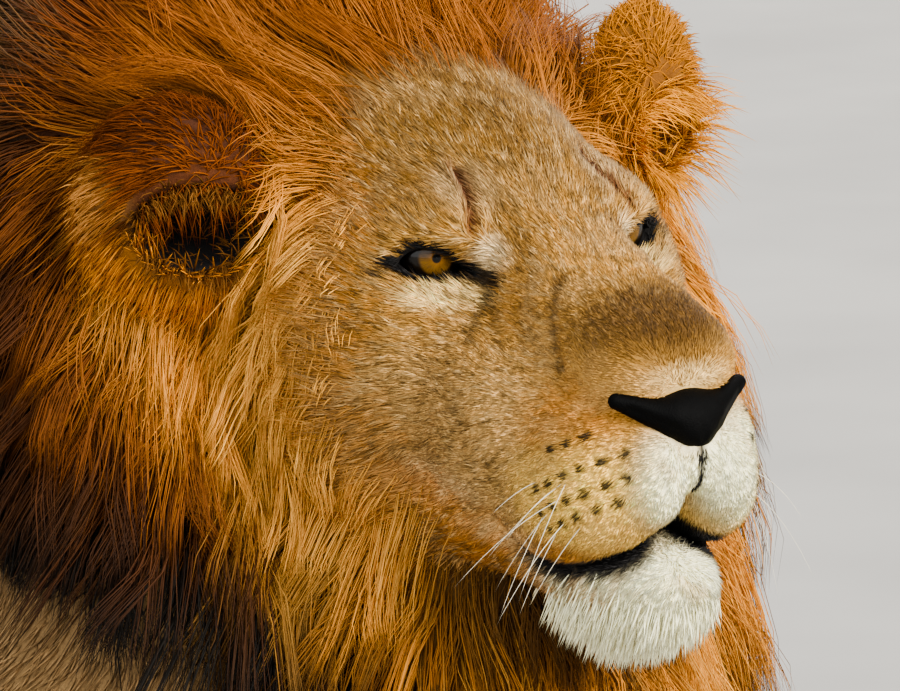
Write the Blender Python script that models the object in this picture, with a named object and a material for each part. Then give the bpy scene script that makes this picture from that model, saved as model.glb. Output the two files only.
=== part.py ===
"""A life-size adult male lion lying on its chest with its head raised, parted into named solids.

The lion faces -Y and its left side is +X. Each group of flesh is a set of rounded lumps that a
voxel remesh joins into one body. Thin cuts then part that body where a person would name its
parts. The mane is the outer shape of the hair, out to the tips of its locks.
"""

import math

import bmesh
import bpy
from mathutils import Matrix, Vector

# Driving dimensions, in metres.
EYE_HEIGHT = 0.68
EYE_Y = -0.46
EYE_SPACING = 0.112
EYEBALL_RADIUS = 0.0185
EAR_SPACING = 0.291
EAR_RADIUS = 0.056
EAR_WALL = 0.010
EAR_SETBACK = 0.130
EAR_RISE = 0.032
EAR_LEAN = 0.010
NOSE_WIDTH = 0.078
TRUNK_HALF_WIDTH = 0.172
WITHERS_HEIGHT = 0.575
RUMP_HEIGHT = 0.505
FOREARM_X = 0.235
LEFT_SHOULDER_BACK = 0.07
HIND_FOOT_X = 0.285
PAW_HALF_WIDTH = 0.062
MANE_HALF_WIDTH = 0.252
TAIL_RADIUS = 0.024

# Making sizes.
GAP = 0.0003
CLEARANCE = 0.004
FLOOR_SINK = 0.004
BODY_VOXEL = 0.014
HEAD_VOXEL = 0.006
NOSE_VOXEL = 0.004
HALF_SPACE = 3.0

# Faces that each group keeps before it is parted.
BODY_FACES = 1560
HEAD_FACES = 760
JAW_FACES = 150
NOSE_FACES = 96
EAR_FACES = 96
MANE_FACES = 440
TAIL_FACES = 180

# Linear colours of the parts.
TAN = (0.43, 0.27, 0.12)
CREAM = (0.66, 0.54, 0.35)
BLACK = (0.010, 0.008, 0.008)
AMBER = (0.36, 0.17, 0.02)
GOLD = (0.48, 0.20, 0.055)
RUST = (0.30, 0.11, 0.025)
UMBER = (0.055, 0.022, 0.009)


def clear_scene():
    """Remove whatever the scene holds."""
    for item in list(bpy.data.objects):
        bpy.data.objects.remove(item)


def material(name, colour, roughness):
    """A Principled material of one colour."""
    made = bpy.data.materials.new(name)
    made.use_nodes = True
    shader = made.node_tree.nodes["Principled BSDF"]
    shader.inputs["Base Color"].default_value = (*colour, 1.0)
    shader.inputs["Roughness"].default_value = roughness
    shader.inputs["Metallic"].default_value = 0.0
    return made


def add_object(name, mesh):
    """Link a mesh to the scene as an object."""
    item = bpy.data.objects.new(name, mesh)
    bpy.context.scene.collection.objects.link(item)
    return item


def from_bmesh(name, bm):
    """Turn a bmesh into an object and free it."""
    mesh = bpy.data.meshes.new(name)
    bm.to_mesh(mesh)
    bm.free()
    return add_object(name, mesh)


def settle(item):
    """Replace an object's mesh with what its modifiers make of it."""
    graph = bpy.context.evaluated_depsgraph_get()
    mesh = bpy.data.meshes.new_from_object(item.evaluated_get(graph))
    item.modifiers.clear()
    item.data = mesh
    return item


# Lumps: each adds one closed rounded shape to a bmesh.

def head_point(side, forward, up):
    """A point given from midway between the eyes: leftward, toward the nose, and up."""
    return Vector((side, EYE_Y - forward, EYE_HEIGHT + up))


def egg(bm, centre, radii, turn=(0.0, 0.0, 0.0), detail=4):
    """An ellipsoid, its radii turned by three angles in degrees about X, Y and Z."""
    angles = [math.radians(angle) for angle in turn]
    spin = Matrix.Rotation(angles[2], 4, "Z") @ Matrix.Rotation(angles[1], 4, "Y")
    spin = spin @ Matrix.Rotation(angles[0], 4, "X")
    place = Matrix.Translation(centre) @ spin @ Matrix.Diagonal((*radii, 1.0))
    bmesh.ops.create_icosphere(bm, subdivisions=detail, radius=1.0, matrix=place)


def limb(bm, start, start_radius, end, end_radius):
    """A rounded cone: the hull of a ball at each end."""
    part = bmesh.new()
    for point, radius in ((start, start_radius), (end, end_radius)):
        bmesh.ops.create_icosphere(part, subdivisions=3, radius=radius,
                                   matrix=Matrix.Translation(point))
    hull = bmesh.ops.convex_hull(part, input=list(part.verts))
    spare = set(hull["geom_interior"]) | set(hull["geom_unused"])
    inner = [item for item in spare if isinstance(item, bmesh.types.BMVert)]
    bmesh.ops.delete(part, geom=inner, context="VERTS")
    mesh = bpy.data.meshes.new("limb")
    part.to_mesh(mesh)
    part.free()
    bm.from_mesh(mesh)
    bpy.data.meshes.remove(mesh)


def fuse(name, build, voxel, faces, rounds=4):
    """Join lumps into one smooth closed body of about the given number of faces."""
    bm = bmesh.new()
    build(bm)
    item = from_bmesh(name, bm)
    remesh = item.modifiers.new("remesh", "REMESH")
    remesh.mode = "VOXEL"
    remesh.voxel_size = voxel
    smooth = item.modifiers.new("smooth", "SMOOTH")
    smooth.factor = 0.5
    smooth.iterations = rounds
    settle(item)
    count = sum(len(face.vertices) - 2 for face in item.data.polygons)
    decimate = item.modifiers.new("decimate", "DECIMATE")
    decimate.ratio = faces / count
    settle(item)
    keep_main_body(item)
    return item


# Cutting.

def islands(bm):
    """The sets of joined vertices of a bmesh."""
    left = set(bm.verts)
    found = []
    while left:
        stack = [left.pop()]
        group = set(stack)
        while stack:
            vert = stack.pop()
            for edge in vert.link_edges:
                other = edge.other_vert(vert)
                if other in left:
                    left.discard(other)
                    group.add(other)
                    stack.append(other)
        found.append(group)
    return found


def keep_main_body(item):
    """Drop the crumbs that a cut leaves beside the largest body, and any sliver faces."""
    bm = bmesh.new()
    bm.from_mesh(item.data)
    bmesh.ops.triangulate(bm, faces=bm.faces)
    groups = islands(bm)
    groups.sort(key=len, reverse=True)
    for group in groups[1:]:
        bmesh.ops.delete(bm, geom=list(group), context="VERTS")
    bmesh.ops.remove_doubles(bm, verts=bm.verts, dist=GAP / 3.0)
    rims = [edge for edge in bm.edges if edge.is_boundary]
    bmesh.ops.holes_fill(bm, edges=rims, sides=4)
    bm.to_mesh(item.data)
    bm.free()


def copy_of(item, name):
    """A separate object with its own copy of a mesh."""
    return add_object(name, item.data.copy())


def wrap(item):
    """Replace a body's mesh with the convex hull around it."""
    bm = bmesh.new()
    bm.from_mesh(item.data)
    hull = bmesh.ops.convex_hull(bm, input=list(bm.verts))
    kept = {face for face in hull["geom"] if isinstance(face, bmesh.types.BMFace)}
    spare = [face for face in bm.faces if face not in kept]
    bmesh.ops.delete(bm, geom=spare, context="FACES")
    loose = [vert for vert in bm.verts if not vert.link_faces]
    bmesh.ops.delete(bm, geom=loose, context="VERTS")
    bmesh.ops.recalc_face_normals(bm, faces=bm.faces)
    bm.to_mesh(item.data)
    bm.free()


def grown(item, distance, wrapped=False):
    """A copy of a body moved outward along its normals, or of the hull around it."""
    made = copy_of(item, item.name + "_grown")
    if wrapped:
        wrap(made)
    displace = made.modifiers.new("grow", "DISPLACE")
    displace.strength = distance
    displace.mid_level = 0.0
    return settle(made)


def combine(item, cutter, operation):
    """Run one exact Boolean and keep its main body."""
    boolean = item.modifiers.new("cut", "BOOLEAN")
    boolean.operation = operation
    boolean.solver = "EXACT"
    boolean.object = cutter
    settle(item)
    keep_main_body(item)
    return item


def subtract(item, others, gap=GAP, wrapped=False):
    """Cut an object back so that it clears others, or the hulls around them, by the gap."""
    for other in others:
        cutter = grown(other, gap, wrapped)
        combine(item, cutter, "DIFFERENCE")
        bpy.data.objects.remove(cutter)
    return item


def box(centre, size, turn=(0.0, 0.0, 0.0)):
    """A box cutter, turned by three angles in degrees."""
    bm = bmesh.new()
    angles = [math.radians(angle) for angle in turn]
    spin = Matrix.Rotation(angles[2], 4, "Z") @ Matrix.Rotation(angles[1], 4, "Y")
    spin = spin @ Matrix.Rotation(angles[0], 4, "X")
    place = Matrix.Translation(centre) @ spin @ Matrix.Diagonal((*size, 1.0))
    bmesh.ops.create_cube(bm, size=1.0, matrix=place)
    return from_bmesh("cutter", bm)


def carve(item, name, centre, size, turn=(0.0, 0.0, 0.0)):
    """Part off what lies inside a box as a new object, leaving a thin gap."""
    inside = copy_of(item, name)
    for target, operation, change in ((inside, "INTERSECT", -GAP), (item, "DIFFERENCE", GAP)):
        cutter = box(centre, [side + change for side in size], turn)
        combine(target, cutter, operation)
        bpy.data.objects.remove(cutter)
    return inside


def split(item, name, point, normal):
    """Part off what lies on the normal's side of a plane as a new object."""
    direction = Vector(normal).normalized()
    centre = Vector(point) + direction * HALF_SPACE / 2.0
    turn = direction.to_track_quat("Z", "Y").to_euler()
    degrees = [math.degrees(angle) for angle in turn]
    return carve(item, name, centre, (HALF_SPACE, HALF_SPACE, HALF_SPACE), degrees)


# Flesh.

def add_trunk(bm):
    """Ribs, belly, back, withers, breast and rump."""
    half = TRUNK_HALF_WIDTH
    egg(bm, (0.0, 0.04, 0.262), (half, 0.40, 0.270))
    egg(bm, (0.0, -0.27, 0.28), (half - 0.02, 0.19, 0.25))
    egg(bm, (0.0, 0.34, 0.235), (half + 0.010, 0.36, 0.248))
    egg(bm, (0.0, 0.66, 0.28), (half - 0.01, 0.25, RUMP_HEIGHT - 0.28))
    limb(bm, (0.0, -0.10, WITHERS_HEIGHT - 0.12), 0.11, (0.0, 0.60, RUMP_HEIGHT - 0.12), 0.12)
    egg(bm, (0.0, -0.08, WITHERS_HEIGHT - 0.11), (0.12, 0.20, 0.11))
    limb(bm, (0.0, -0.14, 0.43), 0.150, (0.0, -0.31, 0.65), 0.105)


def add_fore_leg(bm, side):
    """Shoulder, upper arm, forearm and paw of one side; the left shoulder is held back."""
    x = side * FOREARM_X
    back = LEFT_SHOULDER_BACK if side > 0.0 else 0.0
    shoulder = (side * 0.160 - back * 0.2, -0.30 + back, 0.39 - back * 0.4)
    egg(bm, (side * 0.155, -0.20 + back * 0.5, 0.41), (0.075, 0.18, 0.16), (-20.0, 0.0, 0.0))
    limb(bm, shoulder, 0.098, (x - side * 0.01, -0.05, 0.13), 0.080)
    limb(bm, (x, -0.05, 0.078), 0.078, (x - side * 0.005, -0.26, 0.068), 0.070)
    limb(bm, (x - side * 0.005, -0.25, 0.066), 0.068, (x - side * 0.02, -0.47, 0.052), 0.052)
    add_paw(bm, Vector((x - side * 0.025, -0.545, 0.044)), side, 1.0)


def add_paw(bm, centre, side, scale):
    """The pad of a paw and its four toes in a fan."""
    half = PAW_HALF_WIDTH * scale
    egg(bm, centre, (half, 0.100 * scale, 0.050 * scale))
    for place in (-1.5, -0.5, 0.5, 1.5):
        reach = 0.090 - 0.011 * place * place
        toe = centre + Vector((place * 0.031, -reach, -0.010)) * scale
        radii = (0.020 * scale, 0.036 * scale, 0.032 * scale)
        egg(bm, toe, radii, (0.0, 0.0, place * -5.0))


def add_hind_leg(bm, side):
    """Thigh, shank, metatarsus and foot of one side, folded beside the belly."""
    x = side * HIND_FOOT_X
    egg(bm, (side * 0.165, 0.57, 0.25), (0.108, 0.24, 0.205), (18.0, 0.0, side * 6.0))
    limb(bm, (side * 0.19, 0.48, 0.25), 0.135, (side * 0.235, 0.25, 0.18), 0.088)
    limb(bm, (side * 0.262, 0.25, 0.145), 0.085, (side * 0.258, 0.70, 0.080), 0.052)
    limb(bm, (side * 0.262, 0.74, 0.050), 0.046, (x, 0.40, 0.046), 0.046)
    add_paw(bm, Vector((x + side * 0.004, 0.33, 0.044)), side, 0.92)


def add_body(bm):
    """The whole body without head, mane and tail."""
    add_trunk(bm)
    for side in (-1.0, 1.0):
        add_fore_leg(bm, side)
        add_hind_leg(bm, side)


def add_head(bm):
    """Skull, brows, bridge, muzzle, cheeks and upper lips."""
    egg(bm, head_point(0.0, -0.115, 0.012), (0.088, 0.115, 0.074))
    egg(bm, head_point(0.0, -0.035, 0.000), (0.067, 0.065, 0.056))
    limb(bm, head_point(0.0, -0.01, -0.006), 0.040, head_point(0.0, 0.112, -0.078), 0.031)
    egg(bm, head_point(0.0, 0.085, -0.075), (0.048, 0.060, 0.042), (-20.0, 0.0, 0.0))
    for side in (-1.0, 1.0):
        bridge_end = head_point(side * 0.014, 0.110, -0.046)
        limb(bm, head_point(side * 0.008, -0.010, 0.001), 0.033, bridge_end, 0.032)
        egg(bm, head_point(side * 0.052, -0.014, 0.015), (0.027, 0.034, 0.020), (0.0, side * 20.0, 0.0))
        egg(bm, head_point(side * 0.042, 0.080, -0.115), (0.028, 0.053, 0.036))
        egg(bm, head_point(side * 0.031, 0.088, -0.096), (0.034, 0.053, 0.045))
        egg(bm, head_point(side * 0.0225, 0.124, -0.097), (0.0235, 0.035, 0.033))
        egg(bm, head_point(side * 0.0300, 0.108, -0.109), (0.0245, 0.040, 0.032))
        egg(bm, head_point(side * 0.048, 0.030, -0.083), (0.035, 0.060, 0.048))
        egg(bm, head_point(side * 0.072, -0.060, -0.040), (0.046, 0.080, 0.060))
        egg(bm, head_point(side * 0.062, -0.080, -0.090), (0.046, 0.075, 0.060))
        ear_root = head_point(side * 0.112, -0.142, 0.028)
        limb(bm, head_point(side * 0.060, -0.135, 0.020), 0.050, ear_root, 0.034)
        cheek_end = head_point(side * 0.073, -0.058, -0.034)
        limb(bm, head_point(side * 0.046, -0.002, -0.043), 0.025, cheek_end, 0.038)


def add_jaw(bm):
    """Lower jaw, chin and the beard that hangs from it."""
    egg(bm, head_point(0.0, 0.101, -0.158), (0.036, 0.045, 0.027))
    egg(bm, head_point(0.0, 0.084, -0.172), (0.037, 0.044, 0.038))
    for side in (-1.0, 1.0):
        jaw_end = head_point(side * 0.045, -0.05, -0.125)
        limb(bm, head_point(side * 0.014, 0.09, -0.150), 0.028, jaw_end, 0.034)


def add_nose(bm):
    """Nose leather: a broad top over two nostril wings and a narrow foot."""
    half = NOSE_WIDTH / 2.0
    egg(bm, head_point(0.0, 0.132, -0.056), (half * 0.80, 0.018, 0.012))
    egg(bm, head_point(0.0, 0.137, -0.074), (half * 0.40, 0.018, 0.020))
    for side in (-1.0, 1.0):
        wing = head_point(side * half * 0.62, 0.128, -0.062)
        egg(bm, wing, (half * 0.38, 0.020, 0.015), (0.0, side * 24.0, 0.0))


def add_ear_shell(bm, side):
    """The full rounded ear before its cup is hollowed."""
    centre = ear_middle(side)
    egg(bm, centre, (EAR_RADIUS, 0.030, EAR_RADIUS), (0.0, 0.0, side * 38.0))


def ear_middle(side):
    """The middle of an ear: the left one is carried higher and further out than the right."""
    out = EAR_SPACING / 2.0 + side * EAR_LEAN / 2.0
    return head_point(side * out, -EAR_SETBACK, EAR_RISE + side * EAR_LEAN)


def add_mane(bm):
    """The mane's outer shape: crown, nape, sides of the neck, throat, bib and hanging locks."""
    half = MANE_HALF_WIDTH
    egg(bm, (0.0, -0.205, 0.745), (0.140, 0.130, 0.120))
    limb(bm, (0.0, -0.19, 0.680), 0.160, (0.0, 0.00, 0.520), 0.112)
    egg(bm, (0.0, -0.20, 0.600), (half - 0.03, 0.170, 0.200))
    egg(bm, (0.0, -0.38, 0.390), (0.150, 0.150, 0.250))
    for side in (-1.0, 1.0):
        egg(bm, (side * (half - 0.118), -0.215, 0.590), (0.118, 0.150, 0.180), (0.0, side * -8.0, 0.0))
        egg(bm, (side * 0.100, -0.180, 0.735), (0.100, 0.110, 0.100))
        limb(bm, (side * 0.150, -0.290, 0.565), 0.085, (side * 0.108, -0.410, 0.320), 0.070)
        limb(bm, (side * 0.165, -0.200, 0.570), 0.088, (side * 0.180, -0.300, 0.500), 0.062)
    for step in range(-2, 3):
        x = step * 0.054
        limb(bm, (x, -0.44, 0.30), 0.060, (x * 0.9, -0.45, 0.15 + 0.02 * abs(step)), 0.022)


def tail_path():
    """The tail's line: down from the rump, then laid on the floor along the left side."""
    rest = TAIL_RADIUS * 0.9
    return (
        Vector((0.0, 0.83, 0.36)),
        Vector((0.02, 0.93, 0.27)),
        Vector((0.08, 0.985, 0.15)),
        Vector((0.18, 1.00, 0.045)),
        Vector((0.30, 0.975, rest)),
        Vector((0.40, 0.90, rest)),
        Vector((0.455, 0.79, rest)),
        Vector((0.475, 0.67, rest)),
        Vector((0.470, 0.56, rest)),
    )


def add_tail(bm):
    """Tail and tuft along the tail's line, thinning toward the end."""
    path = tail_path()
    last = len(path) - 1
    for index, (start, end) in enumerate(zip(path, path[1:])):
        first = TAIL_RADIUS * (1.5 - 0.6 * index / last)
        second = TAIL_RADIUS * (1.5 - 0.6 * (index + 1) / last)
        limb(bm, start, first, end, second)
    tip = path[-1]
    egg(bm, tip + Vector((0.0, -0.02, 0.010)), (0.036, 0.085, 0.034))


# Assembly.

def make_eyes():
    """Two eyeballs."""
    made = {}
    for name, side in (("eye_right", -1.0), ("eye_left", 1.0)):
        bm = bmesh.new()
        place = head_point(side * EYE_SPACING / 2.0, -0.0160, -0.001)
        bmesh.ops.create_uvsphere(bm, u_segments=12, v_segments=8, radius=EYEBALL_RADIUS,
                                  matrix=Matrix.Translation(place))
        made[name] = from_bmesh(name, bm)
    return made


def open_eyelids(head):
    """Hollow the head in front of each eyeball, so that the ball shows between the lids."""
    for side in (-1.0, 1.0):
        bm = bmesh.new()
        egg(bm, head_point(side * 0.061, 0.007, -0.001), (0.021, 0.024, 0.012), (0.0, side * 8.0, 0.0), 2)
        opening = from_bmesh("opening", bm)
        combine(head, opening, "DIFFERENCE")
        bpy.data.objects.remove(opening)


def clear_ears(item):
    """Cut the room of both whole ears out of a body."""
    for side in (-1.0, 1.0):
        bm = bmesh.new()
        centre = ear_middle(side)
        room = EAR_RADIUS + 2.0 * CLEARANCE
        egg(bm, centre, (room, 0.030 + 2.0 * CLEARANCE, room), (0.0, 0.0, side * 38.0), 2)
        cutter = from_bmesh("ear_room", bm)
        combine(item, cutter, "DIFFERENCE")
        bpy.data.objects.remove(cutter)


def make_ears(head):
    """Two cupped ears, each standing on the head."""
    made = {}
    for name, side in (("ear_right", -1.0), ("ear_left", 1.0)):
        ear = fuse(name, lambda bm, side=side: add_ear_shell(bm, side), HEAD_VOXEL, EAR_FACES)
        bm = bmesh.new()
        centre = ear_middle(side) + Vector((side * 0.010, -0.022, 0.0))
        inner = EAR_RADIUS - EAR_WALL
        egg(bm, centre, (inner, 0.028, inner), (0.0, 0.0, side * 38.0), 2)
        hollow = from_bmesh("hollow", bm)
        combine(ear, hollow, "DIFFERENCE")
        bpy.data.objects.remove(hollow)
        made[name] = subtract(ear, [head])
    return made


def make_head_group():
    """Head, jaw, nose, eyes and ears, each clear of the next."""
    made = make_eyes()
    nose = fuse("nose", add_nose, NOSE_VOXEL, NOSE_FACES, 2)
    head = fuse("head", add_head, HEAD_VOXEL, HEAD_FACES)
    jaw = fuse("jaw", add_jaw, HEAD_VOXEL, JAW_FACES)
    made.update(make_ears(head))
    made["whole_jaw"] = copy_of(jaw, "whole_jaw")
    subtract(jaw, [head])
    made["whole_head"] = copy_of(head, "whole_head")
    open_eyelids(head)
    subtract(head, [nose, made["eye_right"], made["eye_left"]])
    made.update(nose=nose, head=head, jaw=jaw)
    return made


def level_feet(item):
    """Cut the underside flat at the floor."""
    split(item, "below", (0.0, 0.0, FLOOR_SINK), (0.0, 0.0, -1.0))
    bpy.data.objects.remove(bpy.data.objects["below"])


def part_legs(body):
    """Part each leg off the trunk and divide it at its joints."""
    made = {}
    for word, side in (("right", -1.0), ("left", 1.0)):
        fore = carve(body, "upper_arm_" + word, (side * 0.355, -0.47, 0.29), (0.40, 1.02, 0.70))
        forearm = split(fore, "forearm_" + word, (0.0, -0.06, 0.145), (0.0, -0.35, -1.0))
        paw = split(forearm, "fore_paw_" + word, (0.0, -0.465, 0.05), (0.0, -1.0, 0.0))
        thigh = carve(body, "thigh_" + word, (side * 0.350, 0.62, 0.24), (0.40, 1.02, 0.80))
        shank = split(thigh, "shank_" + word, (side * 0.26, 0.50, 0.148), (0.0, -0.10, -1.0))
        foot = split(shank, "hind_paw_" + word, (0.0, 0.42, 0.05), (0.0, -1.0, -0.35))
        for leg_part in (fore, forearm, paw, thigh, shank, foot):
            made[leg_part.name] = leg_part
    return made


def part_trunk(body):
    """Divide the trunk into neck, chest, belly and rump."""
    neck = split(body, "neck", (0.0, -0.20, 0.545), (0.0, -0.5, 0.86))
    rump = split(body, "rump", (0.0, 0.50, 0.30), (0.0, 1.0, -0.15))
    belly = split(body, "belly", (0.0, 0.085, 0.30), (0.0, 1.0, 0.02))
    body.name = "chest"
    return {"neck": neck, "rump": rump, "belly": belly, "chest": body}


def part_mane(mane):
    """Divide the mane into crown, bib and the two sides of the neck."""
    crown = split(mane, "mane_crown", (0.0, -0.26, 0.735), (0.0, -0.25, 1.0))
    bib = split(mane, "mane_bib", (0.0, -0.40, 0.47), (0.0, -0.30, -1.0))
    left = split(mane, "mane_left", (0.0, 0.0, 0.0), (1.0, 0.0, 0.0))
    mane.name = "mane_right"
    return {"mane_crown": crown, "mane_bib": bib, "mane_left": left, "mane_right": mane}


def part_tail(tail):
    """Divide the tail's dark tuft from its stem."""
    tuft = carve(tail, "tail_tuft", (0.47, 0.50, 0.10), (0.20, 0.26, 0.40))
    return {"tail": tail, "tail_tuft": tuft}


def colour_of(name):
    """The colour and roughness of a part, by its name."""
    special = {
        "nose": (BLACK, 0.45),
        "jaw": (CREAM, 0.85),
        "mane_crown": (RUST, 0.85),
        "mane_bib": (UMBER, 0.85),
        "tail_tuft": (UMBER, 0.85),
    }
    if name.startswith("eye"):
        return AMBER, 0.08
    if name.startswith("mane_") and name not in special:
        return GOLD, 0.85
    return special.get(name, (TAN, 0.85))


def centre_on_floor(made):
    """Move every solid so that the lion's box stands centred on the origin."""
    corners = [vert.co for item in made.values() for vert in item.data.vertices]
    low = [min(corner[axis] for corner in corners) for axis in range(3)]
    high = [max(corner[axis] for corner in corners) for axis in range(3)]
    shift = Vector((-(low[0] + high[0]) / 2.0, -(low[1] + high[1]) / 2.0, -low[2]))
    for item in made.values():
        item.data.transform(Matrix.Translation(shift))


def main():
    """Model the lion."""
    clear_scene()
    made = make_head_group()
    whole_head = made.pop("whole_head")
    whole_jaw = made.pop("whole_jaw")
    body = fuse("body", add_body, BODY_VOXEL, BODY_FACES, 3)
    level_feet(body)
    tail = fuse("tail", add_tail, HEAD_VOXEL, TAIL_FACES, 2)
    level_feet(tail)
    subtract(tail, [body])
    mane = fuse("mane", add_mane, BODY_VOXEL, MANE_FACES, 2)
    subtract(mane, [body])
    subtract(mane, [whole_head, whole_jaw], CLEARANCE / 4.0)
    subtract(body, [whole_head, whole_jaw], CLEARANCE / 4.0, True)
    for item in (mane, body):
        clear_ears(item)
    made.update(part_mane(mane))
    made.update(part_tail(tail))
    made.update(part_legs(body))
    made.update(part_trunk(body))
    for spare in (whole_head, whole_jaw):
        bpy.data.objects.remove(spare)
    centre_on_floor(made)
    for name, item in made.items():
        item.name = name
        item.data.materials.clear()
        colour, roughness = colour_of(name)
        item.data.materials.append(material(name + "_coat", colour, roughness))
        item.data.shade_smooth()


main()
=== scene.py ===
"""Skin, coat, mane, eyes and nose of a lying male lion, laid out as a Blender add-on.

The skin is the level surface of a sum of rounded lumps. Tufts and locks of hair are thin closed
tapered blades that start on the skin and follow the lie of the coat.
"""

import math

import bpy
import mathutils
import numpy as np
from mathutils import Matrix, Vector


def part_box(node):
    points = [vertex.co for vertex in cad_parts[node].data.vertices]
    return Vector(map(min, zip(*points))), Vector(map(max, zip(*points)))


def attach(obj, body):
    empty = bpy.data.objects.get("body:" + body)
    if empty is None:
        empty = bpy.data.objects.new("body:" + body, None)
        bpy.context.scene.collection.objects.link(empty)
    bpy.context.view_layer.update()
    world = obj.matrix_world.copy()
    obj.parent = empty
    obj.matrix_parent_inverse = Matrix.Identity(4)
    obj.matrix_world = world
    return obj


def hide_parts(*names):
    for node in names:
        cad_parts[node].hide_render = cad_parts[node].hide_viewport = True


bl_info = {
    "name": "Lying Lion",
    "version": (1, 0, 0),
    "blender": (4, 5, 0),
    "location": "3D View > Sidebar > Lion",
    "description": "Skin, coat and stage of a lying male lion built round its packed solids",
    "category": "Object",
}

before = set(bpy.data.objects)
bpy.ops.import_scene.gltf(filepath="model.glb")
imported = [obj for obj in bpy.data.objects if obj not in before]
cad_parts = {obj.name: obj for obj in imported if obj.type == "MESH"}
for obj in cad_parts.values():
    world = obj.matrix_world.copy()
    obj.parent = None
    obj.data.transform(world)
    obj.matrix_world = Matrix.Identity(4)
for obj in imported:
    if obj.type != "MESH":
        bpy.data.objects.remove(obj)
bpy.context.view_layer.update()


# Places. The maker's own axes put the middle between the eyes at EYES_AT.

EYES_AT = np.array((0.0, -0.46, 0.68))
EYE_SETBACK = np.array((0.0, -0.016, 0.001))


def box_middle(node):
    """The middle of a solid's box."""
    low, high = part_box(node)
    return (np.array(low) + np.array(high)) / 2.0


BALLS = {side: box_middle(name) for side, name in ((-1, "eye_right"), (1, "eye_left"))}
BALL_RADIUS = (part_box("eye_left")[1][0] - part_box("eye_left")[0][0]) / 2.0
ORIGIN = (BALLS[-1] + BALLS[1]) / 2.0 + EYE_SETBACK - EYES_AT


def head(side, forward, up):
    """A point given from midway between the eyes, in the maker's axes."""
    return (side, EYES_AT[1] - forward, EYES_AT[2] + up)


# Lumps of flesh.

def turned(angles):
    """The matrix of turns in degrees about X, then Y, then Z."""
    x, y, z = (math.radians(a) for a in angles)
    about_x = np.array(((1, 0, 0), (0, math.cos(x), -math.sin(x)), (0, math.sin(x), math.cos(x))))
    about_y = np.array(((math.cos(y), 0, math.sin(y)), (0, 1, 0), (-math.sin(y), 0, math.cos(y))))
    about_z = np.array(((math.cos(z), -math.sin(z), 0), (math.sin(z), math.cos(z), 0), (0, 0, 1)))
    return about_z @ about_y @ about_x


class Egg:
    """An ellipsoid lump: distance is |p/r| (|p/r| - 1) / |p/r2|, with p turned to its axes."""

    def __init__(self, centre, radii, turn=(0, 0, 0), blend=0.02, lie=(0, 1, 0)):
        self.centre = np.array(centre, float)
        self.radii = np.array(radii, float)
        self.spin = turned(turn)
        self.blend = blend
        self.lie = lie

    def reach(self):
        """Low and high corners of the lump."""
        extent = np.sqrt(((self.spin * self.radii) ** 2).sum(1))
        return self.centre - extent, self.centre + extent

    def distance(self, p):
        """Signed distance of points, about right near the surface."""
        q = (p - self.centre) @ self.spin
        a = np.sqrt(((q / self.radii) ** 2).sum(-1)) + 1e-9
        b = np.sqrt(((q / self.radii ** 2) ** 2).sum(-1)) + 1e-9
        return a * (a - 1.0) / b


class Limb:
    """A rounded cone: distance to a segment less a radius that changes along it."""

    def __init__(self, start, start_radius, end, end_radius, blend=0.03, lie=None):
        self.start = np.array(start, float)
        self.end = np.array(end, float)
        self.ra = start_radius
        self.rb = end_radius
        self.blend = blend
        self.lie = tuple(self.end - self.start) if lie is None else lie

    def reach(self):
        """Low and high corners of the lump."""
        low = np.minimum(self.start - self.ra, self.end - self.rb)
        high = np.maximum(self.start + self.ra, self.end + self.rb)
        return low, high

    def distance(self, p):
        """Signed distance of points."""
        run = self.end - self.start
        t = np.clip(((p - self.start) @ run) / (run @ run), 0.0, 1.0)
        gap = p - self.start - t[..., None] * run
        return np.sqrt((gap ** 2).sum(-1)) - (self.ra + (self.rb - self.ra) * t)


def join(a, b, blend):
    """Smooth least of two distances: the least, less a quarter of the blend where they meet."""
    h = np.maximum(blend - np.abs(a - b), 0.0) / blend
    return np.minimum(a, b) - h * h * blend / 4.0


def carve(a, b, blend):
    """Smooth removal of b from a."""
    return -join(-a, b, blend)


def trunk_lumps():
    """Ribs, breast, belly, rump, back, withers and neck."""
    back = (0, 1, -0.15)
    return [
        Egg((0.0, 0.04, 0.258), (0.164, 0.40, 0.266), lie=back),
        Egg((0.0, -0.27, 0.28), (0.145, 0.185, 0.24), blend=0.05, lie=(0, 0.2, -1)),
        Egg((0.0, 0.34, 0.233), (0.174, 0.35, 0.243), blend=0.05, lie=back),
        Egg((0.0, 0.66, 0.28), (0.154, 0.243, 0.218), blend=0.05, lie=(0, 1, -0.4)),
        Limb((0.0, -0.10, 0.455), 0.104, (0.0, 0.60, 0.385), 0.113, blend=0.06, lie=back),
        Egg((0.0, -0.08, 0.465), (0.113, 0.20, 0.104), blend=0.06, lie=back),
        Limb((0.0, -0.14, 0.43), 0.142, (0.0, -0.31, 0.65), 0.098, blend=0.05, lie=(0, 1, -0.8)),
    ]


FAR_SHOULDER_BACK = 0.07


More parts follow.
